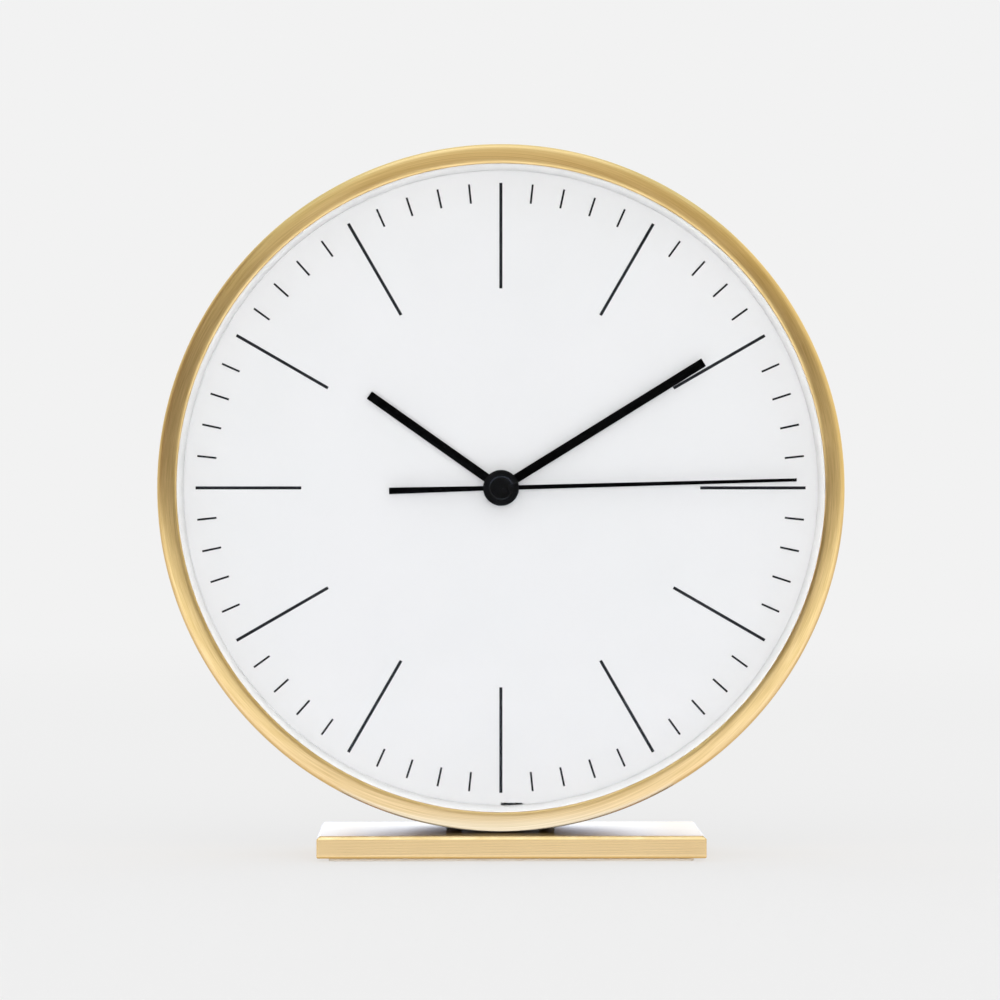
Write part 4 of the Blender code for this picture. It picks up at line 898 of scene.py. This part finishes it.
def brush_map(bm):
    """A UV map whose U runs along the lines that the belt left."""
    layer = bm.loops.layers.uv.new("brush")
    for face in bm.faces:
        end_face = abs(face.normal.x) > 0.7
        top_face = abs(face.normal.z) > 0.7
        for loop in face.loops:
            x, y, z = loop.vert.co
            loop[layer].uv = (y, z) if end_face else (x, y) if top_face else (x, z)
    return bm


def make_base():
    low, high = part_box("base_plate")
    bm = slab(low, high)
    middle = (low.z + high.z) / 2
    soften(bm, FOOT_ROUND, 3, lambda edge: all(v.co.z < middle for v in edge.verts))
    soften(bm, TOP_BEVEL, 1, lambda edge: any(v.co.z > high.z - MERGE for v in edge.verts)
           and abs(edge.verts[0].co.z - edge.verts[1].co.z) < MERGE)
    soften(bm, BEVEL_ROUND, 2, lambda edge: all(v.co.z > middle for v in edge.verts))
    for vert in bm.verts:
        vert.co = [min(max(value, least), most)
                   for value, least, most in zip(vert.co, low, high)]
    guard = TOP_BEVEL + FLAT_GUARD
    for corner, side in ((low, 1), (high, -1)):
        for axis in range(3):
            place, direction = Vector(corner), Vector((0, 0, 0))
            place[axis] += side * guard
            direction[axis] = 1
            split_by(bm, place, direction)
    cuts = []
    for centre in base_screw_middles():
        cuts.append(("cut", upright(centre.x, centre.y, low.z + HEAD_MIDDLE, HEAD_HEIGHT,
                                    HEAD_RADIUS, BASE_SCREW_RADIUS)))
        cuts.append(("cut", upright(centre.x, centre.y, low.z, 20 * MM, BASE_SCREW_RADIUS,
                                    BASE_SCREW_RADIUS)))
    return brush_map(carve(bm, cuts))


piece("base_slab", make_base(), STRAIGHT_BRASS, "clock", ["base_plate"])
pad_shape = soften(round_along(slab(*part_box("base_pad")), 2, PAD_CORNER, 8), 0.12 * MM, 2)
piece("rubber_pad", pad_shape, RUBBER, "clock", ["base_pad"])

# %% [markdown]
# ## The back cover
#
# The back is closed by a pressed steel cover with a black powder coat. A shallow bead is pressed
# into it, which keeps thin steel from drumming. A window with round corners lets a hand reach the
# battery and the setting knob. The disc is turned first, then the window and the screw holes are
# cut. Smooth shading would bend the light across the wide flat parts, so the profile has a guard
# point close beside each bend.

# %% The cover and its screws
BEAD_OUTER = 72.0 * MM
BEAD_INNER = 69.0 * MM
BEAD_DEPTH = 0.55 * MM
BEAD_SLOPE = 0.7 * MM
window_margin = 1.0 * MM
movement_half = half_width("movement_cover")
movement_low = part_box("movement_housing")[0]
lid_low, lid_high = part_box("movement_cover")
window_floor = movement_low.z - AXIS_Z - window_margin
window_top = lid_high.z - AXIS_Z + window_margin
window_half = movement_half + window_margin
COVER_RADIUS = half_width("rear_cover")


def make_cover():
    edge = 0.25 * MM
    bead_floor = cover_back - BEAD_DEPTH
    profile = [
        (0, cover_front), (COVER_RADIUS, cover_front), (COVER_RADIUS, cover_back - edge),
        (COVER_RADIUS - edge * 0.3, cover_back - edge * 0.3), (COVER_RADIUS - edge, cover_back),
        (COVER_RADIUS - edge - FLAT_GUARD, cover_back),
        (BEAD_OUTER + BEAD_SLOPE + FLAT_GUARD, cover_back), (BEAD_OUTER + BEAD_SLOPE, cover_back),
        (BEAD_OUTER, bead_floor), (BEAD_OUTER - FLAT_GUARD, bead_floor),
        (BEAD_INNER + FLAT_GUARD, bead_floor), (BEAD_INNER, bead_floor),
        (BEAD_INNER - BEAD_SLOPE, cover_back), (BEAD_INNER - BEAD_SLOPE - FLAT_GUARD, cover_back),
        (0, cover_back),
    ]
    disc = spun(profile, closed=False)
    window = rounded_plate(-window_half, window_half, window_floor, window_top,
                           cover_front - FAR, cover_back + FAR, 4 * MM, 10)
    return carve(disc, [("cut", window), *lug_holes(cover_front - FAR, cover_back + FAR)])


piece("back_cover", placed(make_cover()), COVER_LACQUER, "clock", ["rear_cover"])

SCREW_PROFILE = [(0, 0), (1.9, 0.02), (2.35, 0.25), (2.62, 0.7), (2.7, 1.2), (2.7, 1.6),
                 (1.3, 1.6), (1.3, 5.6), (0, 5.6)]
SCREW_TURN = math.radians(37)


def make_screw():
    """A pan-head screw with a slot. Its head starts at depth 0 and it points forwards."""
    turned = spun([(radius * MM, -depth * MM) for radius, depth in SCREW_PROFILE], 48,
                  closed=False)
    slot = slab((-4 * MM, -0.75 * MM, -0.3 * MM), (4 * MM, 1 * MM, 0.3 * MM))
    return carve(turned, [("cut", slot)])


for index in range(1, 5):
    node = f"cover_screw_{index}"
    low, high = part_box(node)
    screw = make_screw()
    screw.transform(Matrix.Translation(((low.x + high.x) / 2, high.y, (low.z + high.z) / 2))
                    @ Matrix.Rotation(SCREW_TURN * index, 4, "Y"))
    piece(f"back_screw_{index}", screw, STEEL, "clock", [node])

# %% [markdown]
# ## The movement's lid
#
# A quartz movement is a small black box. Its lid has a raised border and ribs that stiffen it, and
# an arrow beside the knob shows that the hands may be turned both ways. A plus and a minus say
# which way round the battery goes. Shallow round marks are left where the mould's pins pushed the
# lid out.

# %% The lid
LID_CORNER = 3.0 * MM
RIB_HEIGHT = 0.4 * MM
RIB_ROOT = 0.3 * MM
MARK_SIDE = 3.0 * MM
MARK_WIDTH = 0.7 * MM
MARK_X = 21.0 * MM
MARK_RISE = 5.6 * MM
PIN_MARKS = ((-22.0 * MM, 20.0 * MM), (-2.0 * MM, 20.0 * MM), (-6.0 * MM, -3.0 * MM))
RIB_PLACES = (-3.0, 1.0, 5.0, 9.0, 13.0, 17.0)
lid_back = depths("movement_housing")[1]
lid_face = lid_back - RIB_HEIGHT
rib_root = lid_face - RIB_ROOT
knob_low, knob_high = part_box("set_knob")
knob_x = (knob_low.x + knob_high.x) / 2 - AXIS_X
knob_z = (knob_low.z + knob_high.z) / 2 - AXIS_Z
plate_front = lid_back - 1.2 * MM


def arrow_arc(radius, width, start, end, front, back):
    """A flat arc with an arrow head at both ends, for the turning mark beside the knob."""
    bm = spun([(radius - width / 2, front), (radius + width / 2, front),
               (radius + width / 2, back), (radius - width / 2, back)], 72)
    for angle, side in ((start, 1), (end, -1)):
        x, z = around(angle, 1.0)
        split_by(bm, (0, 0, 0), (side * z, 0, -side * x), clear_inner=True)
        bmesh.ops.holes_fill(bm, edges=[edge for edge in bm.edges if edge.is_boundary], sides=4)
    parts = [bm]
    for angle, turn in ((start, -math.pi / 2), (end, math.pi / 2)):
        x, z = around(angle, radius)
        head = rod(width * 1.7, (front - back) / 2, (back - front) / 2, sides=3)
        head.transform(Matrix.Translation((x, (front + back) / 2, z))
                       @ Matrix.Rotation(angle + turn, 4, "Y"))
        parts.append(head)
    return joined(parts)


def make_lid():
    left, right = -movement_half, movement_half
    floor, top = lid_low.z - AXIS_Z, lid_high.z - AXIS_Z

    def inset(margin, front, back, corner):
        return rounded_plate(left + margin, right - margin, floor + margin, top - margin, front,
                             back, corner)

    lid = inset(0, plate_front, lid_face, LID_CORNER)
    soften(lid, 0.25 * MM, 3, lambda edge: min(v.co.y for v in edge.verts) > lid_face - MERGE)
    steps = [("cut", rod(1.5 * MM, plate_front - FAR, lid_back + FAR, knob_x, knob_z, 48))]
    border = inset(2 * MM, rib_root, lid_back, 2.2 * MM)
    soften(border, 0.1 * MM, 1, lambda edge: min(v.co.y for v in edge.verts) > lid_back - MERGE)
    hollow = inset(3 * MM, rib_root - FAR, lid_back + FAR, 1.6 * MM)
    steps.append(("join", carve(border, [("cut", hollow)])))
    for height in RIB_PLACES:
        rib = slab((4 * MM, rib_root, height * MM), (22 * MM, lid_back, (height + 0.9) * MM))
        steps.append(("join", soften(rib, 0.1 * MM, 1)))
    for x, z in PIN_MARKS:
        steps.append(("cut", rod(1.6 * MM, lid_face - 0.12 * MM, lid_back + FAR, x, z, 40)))
    marks_z = floor + MARK_RISE
    bars = [(MARK_X, MARK_SIDE, MARK_WIDTH), (MARK_X, MARK_WIDTH, MARK_SIDE),
            (-MARK_X, MARK_SIDE, MARK_WIDTH)]
    for x, width, height in bars:
        bar = slab((x - width / 2, rib_root, marks_z - height / 2),
                   (x + width / 2, lid_back - RIB_HEIGHT / 2, marks_z + height / 2))
        steps.append(("join", bar))
    return carve(lid, steps)


piece("movement_lid", placed(make_lid()), BLACK_PLASTIC, "clock",
      ["movement_cover"])

# %% The turning arrow
ARROW_REACH = math.radians(30)
arrow = arrow_arc(7.4 * MM, 0.6 * MM, -ARROW_REACH, ARROW_REACH, rib_root, lid_back)
piece("turn_arrow", placed(arrow, knob_x, 0, knob_z), BLACK_PLASTIC, "clock")

# %% [markdown]
# ## The setting knob
#
# The knob has a fluted rim for a good grip and a dished face. The flutes are cut as a ring of
# small round grooves. Its shaft carries a pinion that drives the hands, deep inside the movement.

# %% The knob
KNOB_RADIUS = 6.0 * MM
FLUTES = 18
SHAFT_RADIUS = 1.2 * MM
knob_front, knob_back = depths("set_knob")
head_front = lid_back + FIT


def make_knob():
    profile = [
        (0, knob_front), (0.5 * MM, knob_front), (0.5 * MM, knob_front + 1.6 * MM),
        (SHAFT_RADIUS, knob_front + 1.6 * MM), (SHAFT_RADIUS, head_front),
        (KNOB_RADIUS - 0.2 * MM, head_front), (KNOB_RADIUS, head_front + 0.2 * MM),
        (KNOB_RADIUS, knob_back - 0.5 * MM), (KNOB_RADIUS - 0.15 * MM, knob_back - 0.15 * MM),
        (KNOB_RADIUS - 0.5 * MM, knob_back), (4.6 * MM, knob_back),
        (4.2 * MM, knob_back - 0.35 * MM), (0, knob_back - 0.45 * MM),
    ]
    steps = []
    for index in range(FLUTES):
        x, z = around(index / FLUTES * math.tau, KNOB_RADIUS + 0.35 * MM)
        steps.append(("cut", rod(0.8 * MM, head_front - FAR, knob_back + FAR, x, z, 20)))
    grip = slab((-3.6 * MM, knob_back - 0.8 * MM, -0.45 * MM),
                (3.6 * MM, knob_back - 0.1 * MM, 0.45 * MM))
    soften(grip, 0.15 * MM)
    steps.append(("join", grip))
    return carve(spun(profile, 108, closed=False), steps)


piece("knob_fluted", placed(make_knob(), knob_x, 0, knob_z), KNOB_PLASTIC, "knob",
      ["set_knob"])

# %% [markdown]
# ## The battery
#
# A penlight cell is a steel can in a printed sleeve. The sleeve is folded over both ends, where
# the bare steel shows. It is turned about its own long axis. A dark body with a copper-coloured
# band at the positive end is what such cells commonly look like, and carries no name.

# %% The cell
cell_low, cell_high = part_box("battery")
CELL_RADIUS = (cell_high.z - cell_low.z) / 2
cell_middle = (cell_low + cell_high) / 2


def make_sleeve_finish():
    material, tree, shader, place = new_finish("printed sleeve", (0.03, 0.033, 0.04), 0.3)
    split = add_node(tree, "ShaderNodeSeparateXYZ", {0: place})
    share = add_node(tree, "ShaderNodeMapRange",
                     {"Value": split.outputs["X"], "From Min": cell_low.x,
                      "From Max": cell_high.x})
    bands = add_node(tree, "ShaderNodeValToRGB", {"Fac": share.outputs[0]})
    ramp = bands.color_ramp
    ramp.interpolation = "CONSTANT"
    ramp.elements[0].color = (0.022, 0.024, 0.030, 1)
    ramp.elements[1].position = 0.70
    ramp.elements[1].color = (0.55, 0.26, 0.09, 1)
    ramp.elements.new(0.685).color = (0.62, 0.62, 0.60, 1)
    grain = grain_at(tree, place, 500.0)
    dust = tinted(tree, grain["Clouds"], (0.1, 0.1, 0.1), (0.4, 0.4, 0.4))
    dusty = add_node(tree, "ShaderNodeMix", {0: 0.06, 6: bands.outputs["Color"], 7: dust},
                     data_type="RGBA")
    tree.links.new(dusty.outputs[2], shader.inputs["Base Color"])
    glossed(tree, shader, grain["Clouds"], (0.24, 0.36))
    bumped(tree, shader, grain["Grain"], 0.08, 0.03 * MM)
    return material


SLEEVE = make_sleeve_finish()
NUB_LENGTH = 1.0 * MM


def make_cell():
    """The profile is in millimetres and starts at the negative end."""
    length = cell_high.x - cell_low.x
    end, body, r = length / MM, (length - NUB_LENGTH) / MM, CELL_RADIUS / MM
    profile = [
        (0, 0.25), (4.6, 0.25), (4.9, 0.45), (5.2, 0.45), (5.35, 0.05), (5.6, 0.0),
        (r - 0.5, 0.0), (r - 0.12, 0.14), (r, 0.55), (r, body - 0.6), (r - 0.14, body - 0.2),
        (r - 0.6, body), (5.4, body), (5.2, body - 0.12), (3.2, body - 0.12),
        (2.95, body - 0.05), (2.75, body + 0.3), (2.7, end - 0.25), (2.4, end), (0, end),
    ]
    bm = spun([(radius * MM, depth * MM) for radius, depth in profile], 96, closed=False)
    for face in bm.faces:
        centre = face.calc_center_median()
        distance = math.hypot(centre.x, centre.z)
        face.material_index = 0 if distance > 5.3 * MM else 1
    bm.transform(Matrix.Translation((cell_low.x, cell_middle.y, cell_middle.z))
                 @ Matrix.Rotation(-math.pi / 2, 4, "Z"))
    return bm


piece("penlight_cell", make_cell(), [SLEEVE, STEEL], "cell", ["battery"])

# %% [markdown]
# ## The battery spring
#
# The negative end of the cell presses on a cone of spring wire. Its first turn lies flat on the
# contact, and the others climb and narrow towards the cell. A curve with a round bevel is the
# natural way to make bent wire, and it is turned into a mesh at the end.

# %% The spring
SPRING_WIRE = 0.24 * MM
SPRING_WIDE = 3.6 * MM
SPRING_NARROW = 1.5 * MM
SPRING_TURNS = 3.5
FLAT_TURNS = 1.0
STEPS_PER_TURN = 40


def make_spring():
    low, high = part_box("negative_spring")
    curve = bpy.data.curves.new("spring_wire", "CURVE")
    curve.dimensions = "3D"
    curve.bevel_depth = SPRING_WIRE
    curve.bevel_resolution = 3
    curve.use_fill_caps = True
    spline = curve.splines.new("POLY")
    count = int(SPRING_TURNS * STEPS_PER_TURN)
    spline.points.add(count)
    for index, point in enumerate(spline.points):
        turns = index / STEPS_PER_TURN
        climb = max(0.0, (turns - FLAT_TURNS) / (SPRING_TURNS - FLAT_TURNS))
        radius = SPRING_WIDE + (SPRING_NARROW - SPRING_WIDE) * climb
        x = low.x + SPRING_WIRE + (high.x - low.x - 2 * SPRING_WIRE) * climb
        point.co = (x, cell_middle.y + radius * math.cos(turns * math.tau),
                    cell_middle.z + radius * math.sin(turns * math.tau), 1)
    wire = linked("spring_wire", curve)
    bm = evaluated_copy(wire)
    bpy.data.objects.remove(wire)
    bpy.data.curves.remove(curve)
    bmesh.ops.remove_doubles(bm, verts=bm.verts, dist=MERGE)
    return bm


piece("cell_spring", make_spring(), STEEL, "clock", ["negative_spring"])

# %% [markdown]
# ## Finishes for the parts that keep their shape
#
# The works inside the movement are right as they are, so they only need a finish. Each name is
# listed with its material, and the loop stops if a part has been forgotten.

# %% Finishes of the works
FINISH_OF = {
    "snap_ring": STEEL, "saddle_block": STEEL, "base_screw_left": STEEL,
    "base_screw_right": STEEL, "movement_screw_left": STEEL, "movement_screw_right": STEEL,
    "quartz_crystal": STEEL, "coil_core": STEEL, "stator_plate": STEEL,
    "positive_contact": STEEL, "negative_contact": STEEL,
    "dial_post_left": TURNED_BRASS, "dial_post_right": TURNED_BRASS,
    "cannon_pinion": TURNED_BRASS, "gear_plate": NYLON, "fifth_wheel": NYLON,
    "second_wheel": NYLON, "third_wheel": NYLON, "centre_wheel": NYLON,
    "reverse_wheel": NYLON, "hour_wheel": NYLON, "coil_bobbin": WHITE_PLASTIC,
    "coil_winding": COPPER_WIRE, "circuit_board": BOARD, "clock_chip": BLACK_PLASTIC,
    "rotor": BLACK_PLASTIC, "movement_housing": BLACK_PLASTIC,
}
replaced = {name for obj in made for name in obj.get("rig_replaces", [])}
for name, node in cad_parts.items():
    finish = FINISH_OF.get(name, STEEL if name in replaced else None)
    if finish is None:
        raise ValueError(f"no finish for {name}")
    node.data.materials.clear()
    node.data.materials.append(finish)
print("replaced:", len(replaced), "kept:", len(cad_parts) - len(replaced))

# %% [markdown]
# ## The studio
#
# The photograph is a cut-out on an even pale grey. A world of that grey on all sides and a floor
# of almost the same brightness give one seamless background, with a soft shadow where the plate
# stands. Part of the floor's brightness is a plain glow that only the eye and reflections see,
# which makes the shadow lighter, as in the photograph. The floor fades out far from the clock, so
# no horizon shows. Light from all sides would draw a grey halo on the dial round each hand, which
# the photograph doesn't have. So the dial gets only a part of its light from the world, and the
# rest from a lamp at the lens, whose shadows hide behind the hands.

# %% World and floor
BACKDROP = 0.888
FLOOR_ALBEDO = 0.92
FLOOR_RADIUS = 1.7
FADE_START, FADE_END = 0.6, 1.6
PAPER_SHARE = 0.72
world = bpy.data.worlds.new("white studio")
bpy.context.scene.world = world
world.use_nodes = True
background = world.node_tree.nodes["Background"]
background.inputs["Color"].default_value = (BACKDROP, BACKDROP, BACKDROP, 1)


def stage_object(name, bm, material):
    """Something in the studio that isn't part of the clock."""
    mesh = mesh_of(name, bm)
    mesh.materials.append(material)
    obj = linked(name, mesh)
    return obj


def make_floor_finish():
    material, tree, shader, place = new_finish("pale floor", (FLOOR_ALBEDO,) * 3, 1.0,
                                               Specular_IOR_Level=0.0)
    paper = add_node(tree, "ShaderNodeEmission", {"Color": (BACKDROP, BACKDROP, BACKDROP, 1)})
    path = add_node(tree, "ShaderNodeLightPath").outputs
    seen = calc(tree, "MAXIMUM", path["Is Camera Ray"], path["Is Glossy Ray"])
    seen = calc(tree, "MAXIMUM", seen, path["Is Transmission Ray"])
    share = calc(tree, "MULTIPLY", seen, PAPER_SHARE)
    surface = add_node(tree, "ShaderNodeMixShader",
                       {"Fac": share, 1: shader.outputs[0], 2: paper.outputs[0]})
    fade = add_node(tree, "ShaderNodeMapRange",
                    {"Value": vector_calc(tree, "LENGTH", place)["Value"],
                     "From Min": FADE_START, "From Max": FADE_END},
                    interpolation_type="SMOOTHSTEP")
    clear_where(tree, fade.outputs[0], surface.outputs[0])
    return material


floor_mesh = bmesh.new()
bmesh.ops.create_circle(floor_mesh, cap_ends=True, segments=96, radius=FLOOR_RADIUS)
floor = stage_object("floor", floor_mesh, make_floor_finish())

# %% [markdown]
# ## Cards that only the metal sees
#
# Polished metal shows the room around it, so a photographer surrounds it with cards. Here a black
# flag stands round the lens so that the glass shows no glare. The room behind the camera is dark
# low down and light higher up, the walls behind the clock are bright, and a cool white table lies
# in front. The rim's lowest part looks down on the plate, and is overexposed in the photograph. A
# cool white strip over the plate's front margin gives it that light. It shines upwards only, so
# the plate itself doesn't show it. Only reflections in metal and glass see the cards, so they
# change neither the background nor the shadows nor the dial. A reflection seen in another
# reflection shows them almost dark, so the gap under the rim is dark too.

# %% Reflection cards
SECOND_SHARE = 0.12


def glow(name, colour, one_sided):
    """A card's light, which is faint in a second reflection and missing from diffuse light."""
    material = bpy.data.materials.new(name)
    material.use_nodes = True
    tree = material.node_tree
    tree.nodes.remove(tree.nodes["Principled BSDF"])
    path = add_node(tree, "ShaderNodeLightPath").outputs
    first = calc(tree, "LESS_THAN", path["Glossy Depth"], 1.5)
    strength = calc(tree, "MAXIMUM", first, SECOND_SHARE)
    hidden = calc(tree, "MINIMUM", path["Diffuse Depth"], 1.0)
    if one_sided:
        side = add_node(tree, "ShaderNodeNewGeometry").outputs["Backfacing"]
        hidden = calc(tree, "MAXIMUM", hidden, side)
    light = add_node(tree, "ShaderNodeEmission", {"Color": (*colour, 1), "Strength": strength})
    clear_where(tree, hidden, light.outputs[0])
    return material


def card(name, low, high, colour, one_sided=False):
    """A flat card between two corners, one of whose three sizes is nil."""
    low, high = Vector(low), Vector(high)
    size = high - low
    bm = bmesh.new()
    normal_axis = min(range(3), key=lambda index: abs(size[index]))
    turn = {0: Matrix.Rotation(math.pi / 2, 4, "Y"), 1: Matrix.Rotation(math.pi / 2, 4, "X"),
            2: Matrix.Identity(4)}[normal_axis]
    bmesh.ops.create_grid(bm, x_segments=1, y_segments=1, size=0.5, matrix=turn)
    scale = [value if index != normal_axis else 1 for index, value in enumerate(size)]
    bm.transform(Matrix.Translation((low + high) / 2) @ Matrix.Diagonal((*scale, 1)))
    obj = stage_object(name, bm, glow(name, colour, one_sided))
    obj.visible_camera = False
    obj.visible_diffuse = False
    obj.visible_shadow = False


# %% [markdown]
# The room is a box round the clock. The wall behind the camera and the cards to its sides are
# split in a low and a high part, and the low and high middle parts stand behind the lens.

# %% The cards round the clock
WIDE, MIDDLE = 1.3, 0.35
NEAR, SIDE_SPLIT, REAR = -1.9, -0.2, 1.6
SPLIT, TOP = 0.6, 1.5
TOP_SPLIT = -0.1
TABLE_WIDE, TABLE_Z = 0.9, 0.0005
TABLE_NEAR, TABLE_SPLIT, TABLE_FAR = -0.026, -0.12, -0.8
CARDS = (
    ("flag_lens", (-0.20, -1.12, 0.0), (0.175, -1.12, 0.28), (0.01, 0.01, 0.01)),
    ("front_low", (-MIDDLE, NEAR, 0.0), (MIDDLE, NEAR, SPLIT), (0.60, 0.30, 0.15)),
    ("front_high", (-MIDDLE, NEAR, SPLIT), (MIDDLE, NEAR, TOP), (0.82, 0.80, 0.68)),
    ("left_low", (-WIDE, NEAR, 0.0), (-MIDDLE, NEAR, SPLIT), (0.08, 0.08, 0.08)),
    ("left_high", (-WIDE, NEAR, SPLIT), (-MIDDLE, NEAR, TOP), (0.97, 1.10, 1.10)),
    ("right_low", (MIDDLE, NEAR, 0.0), (WIDE, NEAR, SPLIT), (0.08, 0.08, 0.08)),
    ("right_high", (MIDDLE, NEAR, SPLIT), (WIDE, NEAR, TOP), (0.58, 0.51, 0.18)),
    ("side_left", (-WIDE, NEAR, 0.0), (-WIDE, SIDE_SPLIT, TOP), (0.28, 0.21, 0.20)),
    ("side_right", (WIDE, NEAR, 0.0), (WIDE, SIDE_SPLIT, TOP), (0.98, 1.02, 1.02)),
    ("top_front", (-WIDE, NEAR, TOP), (WIDE, TOP_SPLIT, TOP), (0.97, 1.13, 1.30)),
    ("top_back", (-WIDE, TOP_SPLIT, TOP), (WIDE, REAR, TOP), (0.92, 1.10, 1.05)),
    ("overhead", (-0.5, -0.60, 1.3), (0.5, 0.12, 1.3), (1.70, 2.00, 2.80)),
    ("back", (-WIDE, REAR, 0.0), (WIDE, REAR, TOP), (1.40, 1.75, 2.45)),
    ("back_left", (-WIDE, SIDE_SPLIT, 0.0), (-WIDE, REAR, TOP), (0.87, 0.92, 0.86)),
    ("back_right", (WIDE, SIDE_SPLIT, 0.0), (WIDE, REAR, TOP), (1.15, 1.20, 1.08)),
    ("table_near", (-TABLE_WIDE, TABLE_SPLIT, TABLE_Z), (TABLE_WIDE, TABLE_NEAR, TABLE_Z),
     (1.38, 1.55, 2.25)),
    ("table_far", (-TABLE_WIDE, TABLE_FAR, TABLE_Z), (TABLE_WIDE, TABLE_SPLIT, TABLE_Z),
     (1.60, 1.82, 2.20)),
)
for entry in CARDS:
    card(*entry)

# %% The strip over the plate
STRIP_EDGE = 0.4 * MM
STRIP_GAP = 0.3 * MM
STRIP_UNDER = 1.3 * MM
plate_low, plate_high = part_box("base_plate")
strip_z = plate_high.z + STRIP_GAP
card("strip", (plate_low.x + STRIP_EDGE, plate_low.y + STRIP_EDGE, strip_z),
     (plate_high.x - STRIP_EDGE, FRONT_Y + STRIP_UNDER, strip_z), (1.32, 1.72, 3.30),
     one_sided=True)

# %% [markdown]
# ## The lamps
#
# One square lamp hangs just over the lens. It lights the dial from the front, so the shadows of
# the hands and of the rim fall straight behind them. It stays weak enough that the white dial
# doesn't clip, and neither the glass nor the metal shows it. Light linking leaves the floor out,
# because the floor just below the lamp would clip to white. Light from the lens only grazes the
# white wall inside the rim, which is as bright as the dial in the photograph. So a second lamp in
# the same place is linked to that wall alone.

# %% The lamps at the lens
LENS_X = -0.0135
LAMP_PLACE = (LENS_X, -1.5, 0.17)
LAMP_SIZE = 0.3
DIAL_POWER = 8.7
WALL_POWER = 9.5


def lens_lamp(name, power, receiver, state):
    """A lamp at the lens that lights all but the receiver (EXCLUDE) or it alone (INCLUDE)."""
    light = bpy.data.lights.new(name, "AREA")
    light.shape = "SQUARE"
    light.size = LAMP_SIZE
    light.energy = power
    lamp = linked(name, light)
    lamp.location = LAMP_PLACE
    lamp.rotation_euler = (at(0, 0, 0) - lamp.location).to_track_quat("-Z", "Y").to_euler()
    lamp.visible_glossy = False
    lamp.visible_transmission = False
    group = bpy.data.collections.new(name)
    group.objects.link(receiver)
    group.collection_objects[0].light_linking.link_state = state
    lamp.light_linking.receiver_collection = group
    print(name, "watts:", power)


lens_lamp("dial_lamp", DIAL_POWER, floor, "EXCLUDE")
lens_lamp("wall_lamp", WALL_POWER, spacer, "INCLUDE")

# %% [markdown]
# ## The camera
#
# The photograph was taken from about a metre away with a long lens, level with the hands and a
# touch to the left, because the white wall inside the rim is widest on the right. The lens and the
# distance follow from the size of the rim and of the plate in the picture. The camera is turned by
# the small angle that puts the rim where the picture has it.

# %% Camera
PICTURE = 1000
SENSOR = 36.0
FOCAL_PIXELS = 4252.0
RIM_CENTRE = (501.3, 487.9)
CAMERA_PLACE = Vector((LENS_X, FRONT_Y - 1.08, AXIS_Z))
lens = bpy.data.cameras.new("camera")
lens.sensor_width = SENSOR
lens.lens = FOCAL_PIXELS / PICTURE * SENSOR
lens.clip_start = 0.05
camera = linked("camera", lens)
to_rim = at(0, 0, 0) - CAMERA_PLACE
yaw = math.atan2(to_rim.x, to_rim.y) - (RIM_CENTRE[0] - PICTURE / 2) / FOCAL_PIXELS
pitch = math.atan2(to_rim.z, to_rim.y) - (PICTURE / 2 - RIM_CENTRE[1]) / FOCAL_PIXELS
camera.location = CAMERA_PLACE
camera.rotation_euler = (math.pi / 2 + pitch, 0, -yaw)
bpy.context.scene.camera = camera
bpy.context.scene.view_settings.view_transform = "Standard"
print("lens:", round(lens.lens, 1), "mm")
